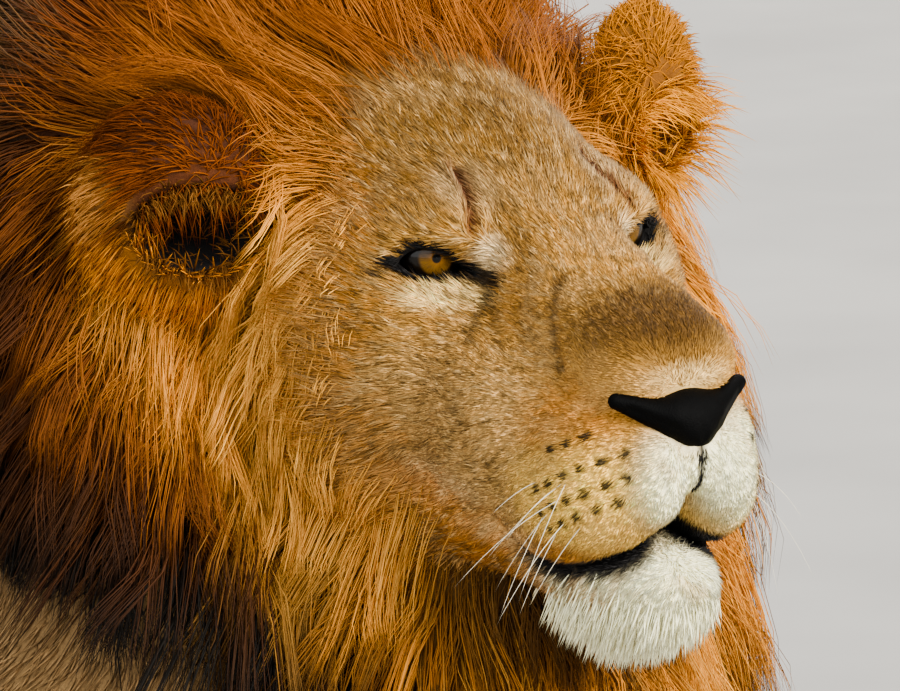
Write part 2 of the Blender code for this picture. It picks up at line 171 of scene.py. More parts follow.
def leg_lumps(side):
    """Shoulder, arm, forearm, thigh, shank and feet of one side."""
    x = side * 0.235
    foot = side * 0.285
    down = (0, 0.5, -1)
    held_back = FAR_SHOULDER_BACK if side > 0 else 0.0
    shoulder = (side * 0.160 - held_back * 0.2, -0.30 + held_back, 0.39 - held_back * 0.4)
    lumps = [
        Egg((side * 0.155, -0.20 + held_back * 0.5, 0.41), (0.069, 0.175, 0.155), (-20, 0, 0),
            0.05, down),
        Limb(shoulder, 0.091, (x - side * 0.01, -0.05, 0.13), 0.074, 0.05, down),
        Limb((x, -0.05, 0.076), 0.072, (x - side * 0.005, -0.26, 0.066), 0.065, 0.03,
             (0, -1, -0.3)),
        Limb((x - side * 0.005, -0.25, 0.064), 0.063, (x - side * 0.02, -0.47, 0.050), 0.048, 0.03),
        Egg((side * 0.165, 0.57, 0.25), (0.102, 0.235, 0.199), (18, 0, side * 6), 0.05, down),
        Limb((side * 0.19, 0.48, 0.25), 0.129, (side * 0.235, 0.25, 0.18), 0.082, 0.05,
             (0, -0.4, -1)),
        Limb((side * 0.262, 0.25, 0.143), 0.079, (side * 0.258, 0.70, 0.078), 0.047, 0.02),
        Limb((side * 0.262, 0.74, 0.049), 0.042, (foot, 0.40, 0.045), 0.042, 0.02),
    ]
    lumps += paw_lumps((x - side * 0.025, -0.545, 0.042), 1.0)
    lumps += paw_lumps((foot + side * 0.004, 0.33, 0.042), 0.92)
    return lumps


def paw_lumps(centre, scale):
    """The pad of a paw and its four toes in a fan."""
    lie = (0, -1, -0.4)
    centre = np.array(centre)
    lumps = [Egg(centre, np.array((0.058, 0.098, 0.046)) * scale, blend=0.03, lie=lie)]
    for place in (-1.5, -0.5, 0.5, 1.5):
        reach = 0.088 - 0.011 * place * place
        toe = centre + np.array((place * 0.031, -reach, -0.008)) * scale
        size = np.array((0.0185, 0.034, 0.030)) * scale
        lumps.append(Egg(toe, size, (0, 0, place * -5), 0.007, lie))
    return lumps


def tail_route():
    """The points the tail's line turns at."""
    return np.array(((0.0, 0.80, 0.37), (0.02, 0.93, 0.27), (0.08, 0.985, 0.15),
                     (0.18, 1.00, 0.047), (0.30, 0.975, 0.023), (0.40, 0.90, 0.022),
                     (0.455, 0.79, 0.022), (0.475, 0.67, 0.022), (0.470, 0.56, 0.022),
                     (0.468, 0.50, 0.024)))


def tail_lumps():
    """The tail as a chain of thinning limbs."""
    route = tail_route()
    radii = np.linspace(0.033, 0.016, len(route))
    return [Limb(a, ra, b, rb, 0.012) for a, b, ra, rb in zip(route, route[1:], radii, radii[1:])]


def skull_lumps():
    """Skull, forehead, bridge, cheeks, muzzle and upper lips."""
    lumps = [
        Egg(head(0, -0.115, 0.008), (0.083, 0.110, 0.072), blend=0.02),
        Egg(head(0, -0.035, -0.002), (0.063, 0.061, 0.053), blend=0.03),
        Limb(head(0, -0.010, -0.010), 0.037, head(0, 0.108, -0.080), 0.029, 0.03),
        Egg(head(0, 0.085, -0.077), (0.044, 0.054, 0.038), (-20, 0, 0), 0.02),
        Limb(head(0, 0.133, -0.080), 0.0185, head(0, 0.139, -0.091), 0.0140, 0.005),
        Egg(head(0, 0.124, -0.084), (0.011, 0.030, 0.019), blend=0.006),
    ]
    for side in (-1, 1):
        lumps += [
            Limb(head(side * 0.008, -0.010, 0.001), 0.030,
                 head(side * 0.014, 0.110, -0.046), 0.029, 0.012),
            Egg(head(side * 0.050, -0.015, 0.012), (0.025, 0.032, 0.019), (0, side * 20, 0), 0.016),
            Egg(head(side * 0.072, -0.060, -0.042), (0.038, 0.066, 0.057), blend=0.03),
            Egg(head(side * 0.062, -0.080, -0.090), (0.042, 0.072, 0.057), blend=0.04),
            Limb(head(side * 0.046, -0.002, -0.043), 0.021,
                 head(side * 0.073, -0.058, -0.034), 0.034, 0.016),
            Egg(head(side * 0.047, 0.030, -0.083), (0.032, 0.056, 0.045), blend=0.024),
            Egg(head(side * 0.030, 0.088, -0.094), (0.031, 0.050, 0.043), blend=0.010),
            Egg(head(side * 0.0385, 0.080, -0.115), (0.0245, 0.050, 0.033), blend=0.012),
            Egg(head(side * 0.0275, 0.107, -0.109), (0.0210, 0.036, 0.0285), blend=0.008),
            Egg(head(side * 0.0210, 0.124, -0.096), (0.0205, 0.0330, 0.0300), blend=0.005),
            Limb(head(side * 0.060, -0.135, 0.018), 0.046,
                 head(side * 0.112, -0.138, 0.028), 0.030, 0.02),
        ]
    return lumps


def jaw_lumps():
    """Lower jaw and chin."""
    lumps = [
        Egg(head(0, 0.101, -0.1615), (0.032, 0.042, 0.0235), blend=0.012),
        Egg(head(0, 0.082, -0.166), (0.030, 0.038, 0.026), blend=0.012),
    ]
    for side in (-1, 1):
        lumps.append(Limb(head(side * 0.014, 0.085, -0.150), 0.025,
                          head(side * 0.045, -0.05, -0.125), 0.031, 0.02))
    return lumps


def ear_middle(side):
    """The middle of an ear: the left one stands higher and further out."""
    return head(side * (0.1455 + side * 0.0075), -0.130, 0.032 + side * 0.010)


EAR_TURN = 38.0


def ear_lumps(side):
    """The ear's disc and, second, the cup taken out of it."""
    centre = np.array(ear_middle(side))
    facing = np.array((side * 0.616, -0.788, 0.0))
    inward = np.array((-side * 0.788, -0.616, 0.0))
    disc = Egg(centre, (0.050, 0.025, 0.052), (0, 0, side * EAR_TURN), 0.006)
    hollow = centre + facing * 0.018 + inward * 0.012 + (0.0, 0.0, -0.014)
    cup = Egg(hollow, (0.032, 0.025, 0.022), (0, 0, side * EAR_TURN), 0.004)
    return disc, cup


def mane_core_lumps():
    """The firm mass of underfur that the mane's locks stand on."""
    lumps = [
        Egg((0.0, -0.200, 0.735), (0.108, 0.095, 0.090), blend=0.04),
        Limb((0.0, -0.19, 0.670), 0.128, (0.0, -0.01, 0.525), 0.085, 0.04),
        Egg((0.0, -0.19, 0.590), (0.190, 0.135, 0.165), blend=0.04),
        Egg((0.0, -0.365, 0.395), (0.118, 0.118, 0.215), blend=0.04),
    ]
    for side in (-1, 1):
        lumps += [
            Egg((side * 0.130, -0.205, 0.580), (0.088, 0.115, 0.145), blend=0.04),
            Egg((side * 0.098, -0.172, 0.722), (0.070, 0.078, 0.072), blend=0.04),
            Limb((side * 0.145, -0.275, 0.555), 0.056, (side * 0.105, -0.395, 0.330), 0.042, 0.04),
            Limb((side * 0.155, -0.195, 0.560), 0.060, (side * 0.170, -0.290, 0.500), 0.036, 0.04),
        ]
    return lumps


def between(p, low, high):
    """Which points lie inside a box."""
    return ((p > low) & (p < high)).all(1)


def from_eyes(p):
    """Places measured from midway between the eyes: off the middle, forward and up."""
    return np.stack((np.abs(p[:, 0]), EYES_AT[1] - p[:, 1], p[:, 2] - EYES_AT[2]), 1)


def union(p, lumps, start=None):
    """Smooth least of many lumps at points, each counted only near its own box."""
    d = np.full(len(p), 1.0) if start is None else start
    if not len(p):
        return d
    least, most = p.min(0), p.max(0)
    for lump in lumps:
        if (least > lump.high).any() or (most < lump.low).any():
            continue
        near = between(p, lump.low, lump.high)
        if near.any():
            d[near] = join(d[near], lump.distance(p[near]), lump.blend)
    return d


def boxed(lumps):
    """The lumps, each with the box in which it counts."""
    for lump in lumps:
        low, high = lump.reach()
        lump.low = low - lump.blend - 0.03
        lump.high = high + lump.blend + 0.03
    return lumps


def step(low, high, value):
    """Smooth rise from 0 at low to 1 at high."""
    t = np.clip((value - low) / (high - low), 0.0, 1.0)
    return t * t * (3.0 - 2.0 * t)


BODY = boxed(trunk_lumps() + leg_lumps(-1) + leg_lumps(1) + tail_lumps())
CORE = boxed(mane_core_lumps())
SKULL = boxed(skull_lumps())
JAW = boxed(jaw_lumps())
EARS = {side: boxed(list(ear_lumps(side))) for side in (-1, 1)}
FACE_LOW = np.array(head(-0.125, 0.18, -0.24))
FACE_HIGH = np.array(head(0.125, -0.20, 0.12))

EYE_TILT = {"out": np.array((0.757, 0.640, 0.125)), "front": np.array((0.642, -0.766, 0.0))}
BALL_AT = np.array(head(0.056, -0.016, -0.001))


def eye_frame(p, side):
    """Places in one eye's own axes: out along the slit, up across it and forward from the ball."""
    mirror = np.array((side, 1.0, 1.0))
    along = EYE_TILT["out"] / np.linalg.norm(EYE_TILT["out"])
    front = EYE_TILT["front"]
    up = np.cross(front, along)
    up = up if up[2] > 0 else -up
    q = p * mirror - BALL_AT
    return q @ along, q @ up, q @ front


def slit_heights(out):
    """Upper and lower lid edges over the slit's line, both falling to nothing at the corners."""
    reach = np.where(out > 0, 0.0135, 0.0265)
    bow = np.clip(1.0 - (out / reach) ** 2, 0.0, None)
    level = -0.0035
    return level + 0.0100 * bow ** 0.8, level - 0.0050 * bow ** 0.7, reach - np.abs(out)


def lids(p, d):
    """Wrap each eyeball in lids and cut the slit between them."""
    for side in (-1, 1):
        q = p * (side, 1.0, 1.0) - BALL_AT
        from_ball = np.sqrt((q ** 2).sum(1))
        near = from_ball < 0.045
        if not near.any():
            continue
        out, up, front = eye_frame(p[near], side)
        hollow = np.sqrt(((out + 0.010) / 0.034) ** 2 + (up / 0.0135) ** 2
                         + ((front - 0.031) / 0.0155) ** 2)
        shell = from_ball[near] - (BALL_RADIUS + 0.0018)
        skin = join(carve(d[near], (hollow - 1.0) * 0.0155, 0.008), shell, 0.007)
        top, bottom, within = slit_heights(out)
        fold = np.abs(up - top - 0.0052) - 0.0006
        fold = np.maximum(fold, np.abs(out) - 0.017)
        skin = skin + 0.0012 * (1.0 - step(0.0, 0.0022, np.abs(fold))) * (front > 0)
        opening = np.maximum(np.maximum(up - top, bottom - up), -within)
        opening = np.maximum(opening, 0.0015 - front)
        deep = np.maximum(opening, BALL_RADIUS - 0.006 - from_ball[near])
        d[near] = carve(skin, deep, 0.0016)
    return d


MUZZLE_FOLD = ((0.066, -0.004), (0.088, -0.046))
TEAR_FOLD = ((0.021, -0.016), (0.036, -0.034))
BROW_FOLD = ((0.0375, 0.0385), (0.0490, 0.0165))


def side_view(p):
    """Places on the head's side view: forward of the eyes and above them."""
    return np.stack((EYES_AT[1] - p[:, 1], p[:, 2] - EYES_AT[2]), 1)


def front_view(p):
    """Places on the head's front view: away from the middle and above the eyes."""
    return np.stack((np.abs(p[:, 0]), p[:, 2] - EYES_AT[2]), 1)


def fold(flat, start, end, width):
    """1 on a line between two places of a flat view, falling to 0 at the width."""
    a, b = np.array(start), np.array(end)
    t = np.clip((flat - a) @ (b - a) / ((b - a) ** 2).sum(), 0.0, 1.0)
    away = np.linalg.norm(flat - a - t[:, None] * (b - a), axis=1)
    return 1.0 - step(0.0, width, away)


def mouth_parts(p):
    """Distances to the upper head and to the jaw, the jaw clear of the lips in front."""
    upper = union(p, SKULL)
    lower = union(p, JAW)
    forward = EYES_AT[1] - p[:, 1]
    gap = 0.0026 * step(0.030, 0.065, forward) + 0.0040 * step(0.080, 0.125, forward)
    parted = np.maximum(lower, gap - upper)
    return upper, lower, np.where(forward > 0.031, parted, lower)


def flesh(p):
    """Signed distance of points to the whole skin, in the maker's axes."""
    d = union(p, BODY)
    d = union(p, CORE, d)
    face = between(p, FACE_LOW, FACE_HIGH)
    if face.any():
        q = p[face]
        upper, _, parted = mouth_parts(q)
        forward = EYES_AT[1] - q[:, 1]
        upper = lids(q, upper)
        groove = Limb(head(0, 0.1565, -0.074), 0.0024, head(0, 0.1565, -0.104), 0.0032, 0.004)
        upper = carve(upper, groove.distance(q), 0.004)
        upper = upper + 0.0020 * fold(side_view(q), *MUZZLE_FOLD, 0.008) * (np.abs(q[:, 0]) > 0.02)
        upper = upper + 0.0034 * fold(front_view(q), *BROW_FOLD, 0.006) * (forward > -0.03)
        blend = 0.0015 + 0.016 * (1.0 - step(0.0, 0.055, forward))
        whole = join(upper, parted, blend)
        d[face] = join(d[face], whole, 0.02)
    for side in (-1, 1):
        disc, cup = EARS[side]
        near = between(p, disc.low, disc.high)
        if near.any():
            q = p[near]
            shell = join(d[near], disc.distance(q), 0.012)
            d[near] = carve(shell, cup.distance(q), 0.004)
    return d


def slope(field, p, reach=0.0006):
    """Unit normal and steepness of a field, from four points about each place."""
    corners = np.array(((1, -1, -1), (-1, -1, 1), (-1, 1, -1), (1, 1, 1)), float)
    total = np.zeros_like(p)
    for corner in corners:
        total += field(p + corner * reach)[:, None] * corner
    total /= 4.0 * reach
    steep = np.sqrt((total ** 2).sum(1)) + 1e-9
    return total / steep[:, None], steep


def ruler(*spans):
    """Grid lines from spans of (start, end, spacing)."""
    parts = [np.arange(start, end, gap) for start, end, gap in spans]
    return np.concatenate(parts + [[spans[-1][1]]])


def sample_blocks(field, xs, ys, zs, size=20):
    """The field on a grid, worked out block by block and only where a surface may pass."""
    d = np.ones((len(xs), len(ys), len(zs)))
    for i in range(0, len(xs) - 1, size):
        for j in range(0, len(ys) - 1, size):
            for k in range(0, len(zs) - 1, size):
                bx, by, bz = xs[i:i + size], ys[j:j + size], zs[k:k + size]
                low = np.array((bx[0], by[0], bz[0]))
                high = np.array((bx[-1], by[-1], bz[-1]))
                half = np.linalg.norm(high - low) / 2.0
                centre = (low + high) / 2.0
                middle = field(centre[None])[0]
                if abs(middle) > half * 1.5 + 0.03 and middle < 1.0:
                    d[i:i + size, j:j + size, k:k + size] = middle
                    continue
                grid = np.stack(np.meshgrid(bx, by, bz, indexing="ij"), -1)
                value = field(grid.reshape(-1, 3))
                d[i:i + size, j:j + size, k:k + size] = value.reshape(grid.shape[:3])
    return d


def surface_net(d, xs, ys, zs):
    """Points and quads of the zero surface: a point a crossed cell, a quad a crossed edge."""
    inside = d < 0.0
    count = np.zeros(tuple(n - 1 for n in d.shape), np.int8)
    for a in (0, 1):
        for b in (0, 1):
            for c in (0, 1):
                count += inside[a:d.shape[0] - 1 + a, b:d.shape[1] - 1 + b, c:d.shape[2] - 1 + c]
    cells = np.argwhere((count > 0) & (count < 8))
    index = np.full(count.shape, -1, np.int64)
    index[tuple(cells.T)] = np.arange(len(cells))
    axes = (xs, ys, zs)
    total = np.zeros((len(cells), 3))
    hits = np.zeros(len(cells))
    for axis in range(3):
        others = [a for a in range(3) if a != axis]
        for a in (0, 1):
            for b in (0, 1):
                start = cells.copy()
                start[:, others[0]] += a
                start[:, others[1]] += b
                end = start.copy()
                end[:, axis] += 1
                va, vb = d[tuple(start.T)], d[tuple(end.T)]
                cross = (va < 0) != (vb < 0)
                t = np.where(cross, va / np.where(cross, va - vb, 1.0), 0.0)
                place = np.stack([axes[n][start[:, n]] for n in range(3)], 1)
                place[:, axis] += t * (axes[axis][end[:, axis]] - axes[axis][start[:, axis]])
                total += place * cross[:, None]
                hits += cross
    points = total / hits[:, None]
    quads = []
    for axis in range(3):
        u, v = [(1, 2), (2, 0), (0, 1)][axis]
        low = [slice(None)] * 3
        high = [slice(None)] * 3
        low[axis], high[axis] = slice(0, -1), slice(1, None)
        a, b = inside[tuple(low)], inside[tuple(high)]
        edges = np.argwhere(a != b)
        keep = (edges[:, u] > 0) & (edges[:, v] > 0)
        edges = edges[keep]
        flip = b[tuple(edges.T)]
        corners = []
        for du, dv in ((1, 1), (0, 1), (0, 0), (1, 0)):
            cell = edges.copy()
            cell[:, u] -= du
            cell[:, v] -= dv
            corners.append(index[tuple(cell.T)])
        quad = np.stack(corners, 1)
        quad[flip] = quad[flip][:, ::-1]
        quads.append(quad)
    return points, np.concatenate(quads)


def settled(field, points, rounds=3):
    """Points moved along the slope until the field is nothing there."""
    for _ in range(rounds):
        normal, steep = slope(field, points)
        move = field(points) / steep
        points = points - normal * np.clip(move, -0.004, 0.004)[:, None]
    return points


FLOOR_GAP = 0.0004


def above_floor(points):
    """Points with none below the floor the lion lies on."""
    return np.maximum(points, (-np.inf, -np.inf, FLOOR_GAP - ORIGIN[2]))


def mesh_object(name, points, faces):
    """A mesh object at the origin from points in the maker's axes and equal-sided faces."""
    mesh = bpy.data.meshes.new(name)
    sides = faces.shape[1]
    mesh.vertices.add(len(points))
    mesh.vertices.foreach_set("co", (points + ORIGIN).astype(np.float32).ravel())
    mesh.loops.add(faces.size)
    mesh.loops.foreach_set("vertex_index", faces.astype(np.int32).ravel())
    mesh.polygons.add(len(faces))
    mesh.polygons.foreach_set("loop_start", np.arange(0, faces.size, sides, dtype=np.int32))
    mesh.update(calc_edges=True)
    mesh.polygons.foreach_set("use_smooth", np.full(len(faces), True))
    mesh.validate()
    item = bpy.data.objects.new(name, mesh)
    bpy.context.scene.collection.objects.link(item)
    return item


SKIN_LINES = (
    ruler((-0.345, -0.21, 0.014), (-0.21, -0.105, 0.0065), (-0.105, -0.092, 0.0036),
          (-0.092, -0.030, 0.0021), (-0.030, 0.030, 0.0040), (0.030, 0.092, 0.0021),
          (0.092, 0.105, 0.0036), (0.105, 0.21, 0.0065), (0.21, 0.53, 0.014)),
    ruler((-0.70, -0.628, 0.010), (-0.628, -0.490, 0.0036), (-0.490, -0.436, 0.0022),
          (-0.436, -0.28, 0.0065), (-0.28, 0.20, 0.030), (0.20, 0.42, 0.015), (0.42, 1.05, 0.026)),
    ruler((-0.012, 0.10, 0.008), (0.10, 0.45, 0.018), (0.45, 0.475, 0.008), (0.475, 0.645, 0.0039),
          (0.645, 0.700, 0.0021), (0.700, 0.79, 0.0055), (0.79, 0.87, 0.010)),
)


class Skin:
    """The whole skin as points, normals and quads, kept for every coat piece to grow from."""

    made = None

    def __init__(self):
        points, quads = surface_net(sample_blocks(flesh, *SKIN_LINES), *SKIN_LINES)
        points = settled(flesh, points, 2)
        self.points = points
        self.quads = quads
        self.normals = slope(flesh, points)[0]
        a, b, c, d = (points[quads[:, n]] for n in range(4))
        self.centres = (a + b + c + d) / 4.0
        first = np.linalg.norm(np.cross(b - a, c - a), axis=1) / 2.0
        second = np.linalg.norm(np.cross(c - a, d - a), axis=1) / 2.0
        self.areas = first + second

    def scatter(self, amount, weight, rng):
        """Random places and normals, spread by area times weight."""
        share = self.areas * weight(self.centres)
        total = np.cumsum(share)
        pick = np.searchsorted(total, rng.random(amount) * total[-1])
        corners = self.quads[pick]
        u, v = rng.random((2, amount, 1))
        parts = ((1 - u) * (1 - v), u * (1 - v), u * v, (1 - u) * v)
        place = sum(w * self.points[corners[:, n]] for n, w in enumerate(parts))
        normal = sum(w * self.normals[corners[:, n]] for n, w in enumerate(parts))
        return place, unit(normal)


def skin():
    """The skin, worked out once."""
    if Skin.made is None:
        Skin.made = Skin()
    return Skin.made


def unit(v):
    """Vectors made one long."""
    return v / (np.sqrt((v ** 2).sum(-1, keepdims=True)) + 1e-12)


RICHNESS = 1.20


def linear(colour):
    """Linear light from a colour given as 0 to 255."""
    c = np.asarray(colour, float) / 255.0
    light = np.where(c <= 0.04045, c / 12.92, ((c + 0.055) / 1.055) ** 2.4)
    grey = light.mean(-1, keepdims=True)
    return np.clip(grey + (light - grey) * RICHNESS, 0.0004, 1.0)


TAN = (174, 129, 70)
GREY_TAN = (190, 157, 108)
GOLD = (192, 124, 56)
PALE_GOLD = (226, 174, 100)
RUST = (112, 60, 12)
BROWN = (76, 38, 9)
DARK = (9, 6, 3)
BLACK = (9, 7, 6)
CREAM = (250, 228, 184)
WHITE = (255, 248, 210)
BRIDGE = (100, 70, 34)
SHOULDER = (146, 120, 86)
AMBER = (80, 55, 18)

# Shades of single places: face, mane, body, ears, chin, tail, nose, eyes and floor, some of them
# painted shadow and painted shade.

OLIVE = (126, 90, 42)
UMBER = (72, 48, 18)
NOSE_TOP = (236, 208, 150)
HONEY = (176, 118, 56)
PAD_GOLD = (255, 206, 118)
LIP_GOLD = (168, 112, 44)
CHEEK_CREAM = (236, 200, 146)
LID_CREAM = (240, 208, 144)
# Painted shadow under the jaw.
JAW_PAINTED_SHADOW = (70, 42, 16)
BORDER_GOLD = (184, 122, 54)
SPECKLE = (68, 48, 20)
PALE_SPECKLE = (212, 176, 122)
SOFT_TAN = (192, 154, 102)
BRIDGE_SPECKLE = (58, 38, 14)
# Painted shade in the face's creases.
CREASE_PAINTED_SHADE = (58, 38, 20)
# Brow furrow: partly the coat's own rust, partly painted shade in the crease.
BROW_RUST_AND_PAINTED_SHADE = (84, 38, 12)
LIP_SHADE = (40, 30, 24)
NAPE_GREY = (62, 50, 30)
# Painted shadow on the mane under the jaw.
THROAT_PAINTED_SHADOW = (44, 26, 9)
# Painted shadow on the hair below the jaw.
BREAST_PAINTED_SHADOW = (40, 23, 8)
BACK_BROWN = (112, 82, 50)
BELLY_TAN = (158, 130, 94)
FLANK_TAN = (142, 112, 74)
FLANK_GREY = (104, 80, 54)
EAR_RUST = (88, 46, 11)
EAR_GOLD = (178, 116, 46)
EAR_TOP = (72, 36, 7)
EAR_LOBE = (196, 128, 58)
EAR_EDGE = (224, 160, 96)
# The right ear's cup and its hairs are painted darker than the left's: painted shade in the hollow.
RIGHT_CUP_IN_PAINTED_SHADE = (10, 6, 4)
LEFT_CUP = (84, 44, 12)
RIGHT_CUP_HAIR_IN_PAINTED_SHADE = (86, 56, 30)
LEFT_CUP_HAIR = (186, 124, 54)
CHIN_BACK = (190, 150, 100)
WHISKER = (238, 228, 204)
TAIL_DARK = (62, 38, 22)
NOSE_BLACK = (1, 1, 1)
IRIS_RING = (96, 62, 14)
PUPIL = (3, 3, 3)
IRIS_RIM = (12, 8, 4)
EYE_BROWN = (6, 4, 3)
FLOOR_GREY = (150, 148, 144)


def shown(colour):
    """A colour given as 0 to 255 as the panel shows it, 0 to 1."""
    return tuple(part / 255.0 for part in colour)


def chosen(name):
    """A colour from the settings, as 0 to 255."""
    return 255.0 * np.array(getattr(coat_settings(), name))


def wave(p, size, seed, octaves=3):
    """Soft random shade from -1 to 1: sums of sines along directions drawn from the seed."""
    rng = np.random.default_rng(seed)
    total = np.zeros(len(p))
    weight = 0.0
    for octave in range(octaves):
        scale = 2.0 ** octave
        for _ in range(4):
            way = rng.normal(size=3) * scale / size
            bend = rng.normal(size=3) * scale / size
            phase, twist = rng.random(2) * 6.283
            total += np.sin(p @ way * 3.0 + phase + 1.4 * np.sin(p @ bend * 2.0 + twist)) / scale
        weight += 2.0 / scale
    return np.clip(total / weight, -1.0, 1.0)


def blob(p, centre, radii, soft=0.35):
    """1 inside an egg-shaped patch, falling to 0 outside it."""
    reach = np.sqrt((((p - np.asarray(centre)) / np.asarray(radii)) ** 2).sum(1))
    return 1.0 - step(1.0 - soft, 1.0 + soft, reach)


def paint(colour, mask, new):
    """A colour laid over others where the mask is 1."""
    return colour + (linear(new) - colour) * mask[:, None]


def patched(colour, place, patches):
    """Egg-shaped patches laid over a colour one after another."""
    for share, new, middle, radii, soft in patches:
        colour = paint(colour, share * blob(place, middle, radii, soft), new)
    return colour


def face_angles(p):
    """Angle from straight ahead, and angle round that line, seen from inside the head."""
    q = p - np.array(head(0, -0.09, -0.03))
    flat = np.sqrt(q[:, 0] ** 2 + q[:, 2] ** 2)
    return np.degrees(np.arctan2(flat, -q[:, 1])), np.degrees(np.arctan2(q[:, 2], np.abs(q[:, 0])))


SLANT_FORWARD = (-0.85, 0.53, 0.0)
SLANT_RISE = (-0.113, -0.18, 0.977)


def slanted(p):
    """Two measures that run with the mane's own bands: forward and inward, and up and back."""
    place = from_eyes(p)
    return place @ np.array(SLANT_FORWARD), place @ np.array(SLANT_RISE)


def over_shoulder(p):
    """Rise over the mane's lower edge where it lies on the shoulder."""
    along, rise = slanted(p)
    return rise + 0.158 + 0.42 * (along + 0.28) + 1.25 * np.clip(along + 0.235, 0.0, 0.2)


def past_face(p):
    """Degrees behind the line where the face's short hair gives way to the mane."""
    ahead, round_it = face_angles(p)
    edge = 65.0 + 29.0 * step(15.0, 75.0, round_it) - 13.0 * step(-35.0, -75.0, round_it)
    return ahead - edge - 3.0 * wave(p, 0.05, 5, 2)


def mane_share(p):
    """1 where the mane grows on the head and neck, 0 on the short-haired face."""
    share = step(-12.0, 9.0, past_face(p))
    core = union(p, CORE)
    body = union(p, BODY)
    on_core = 1.0 - step(0.003, 0.010, core - np.minimum(body, 0.0))
    skull = union(p, SKULL)
    on_head = (skull < 0.012) & (p[:, 2] > 0.45)
    over = step(-0.012, 0.004, over_shoulder(p) - 0.010 * wave(p, 0.03, 6, 2))
    on_core = on_core * np.where(np.abs(p[:, 0]) > 0.11, over, 1.0)
    return np.where(on_head, share, on_core) * (1.0 - ear_share(p))


def ear_share(p):
    """1 on the ears."""
    total = np.zeros(len(p))
    for side in (-1, 1):
        disc = EARS[side][0]
        near = between(p, disc.low, disc.high)
        total[near] = np.maximum(total[near], 1.0 - step(0.002, 0.008, disc.distance(p[near])))
    return total


def head_share(p):
    """1 on the head's short-haired part."""
    near = between(p, FACE_LOW, FACE_HIGH)
    share = np.zeros(len(p))
    if near.any():
        q = p[near]
        close = np.minimum(union(q, SKULL), union(q, JAW))
        share[near] = 1.0 - step(0.004, 0.016, close)
    return share * (1.0 - ear_share(p))


# Patches of the face as share, colour, middle, radii and softness: from forehead to upper lip,
# beside the mouth, and about the eye. Places are off the middle, forward and up.

BRIDGE_PATCH = (0.90, UMBER, (0.0, 0.110, -0.024), (0.044, 0.036, 0.022), 0.45)
PAD_PATCH = (0.95, PAD_GOLD, (0.030, 0.115, -0.108), (0.044, 0.055, 0.030), 0.4)
UPPER_PATCHES = (
    (0.75, OLIVE, (0, -0.03, 0.06), (0.09, 0.06, 0.04), 0.6),
    (0.50, BRIDGE, (0.0, -0.05, 0.07), (0.014, 0.07, 0.04), 0.6),
    (0.60, BRIDGE, (0.030, 0.03, 0.020), (0.007, 0.045, 0.030), 0.6),
    BRIDGE_PATCH,
    (0.60, NOSE_TOP, (0.0, 0.148, -0.047), (0.034, 0.014, 0.0075), 0.5),
    (0.80, HONEY, (0.046, 0.105, -0.072), (0.024, 0.030, 0.020), 0.5),
    PAD_PATCH,
    (0.95, WHITE, (0.006, 0.158, -0.098), (0.032, 0.024, 0.032), 0.5),
)
LEFT_PAD = ((0.036, 0.140, -0.100), (0.026, 0.034, 0.034), 0.4)
MOUTH = ((0.0, 0.135, -0.121), (0.028, 0.036, 0.0135), 0.2)
LIP_PATCH = (0.85, LIP_GOLD, (0.050, 0.082, -0.140), (0.024, 0.036, 0.009), 0.5)
UNDER_CHEEK = (((0.078, 0.005, -0.118), (0.022, 0.040, 0.014), 0.5),
               ((0.063, 0.048, -0.141), (0.018, 0.036, 0.010), 0.5))
EYE_PATCHES = (
    (0.95, LID_CREAM, (0.060, 0.008, -0.0195), (0.024, 0.026, 0.0070), 0.35),
    (0.60, CREAM, (0.040, 0.022, 0.002), (0.0065, 0.011, 0.010), 0.5),
    (0.22, CREAM, (0.042, 0.000, 0.034), (0.014, 0.020, 0.014), 0.6),
)


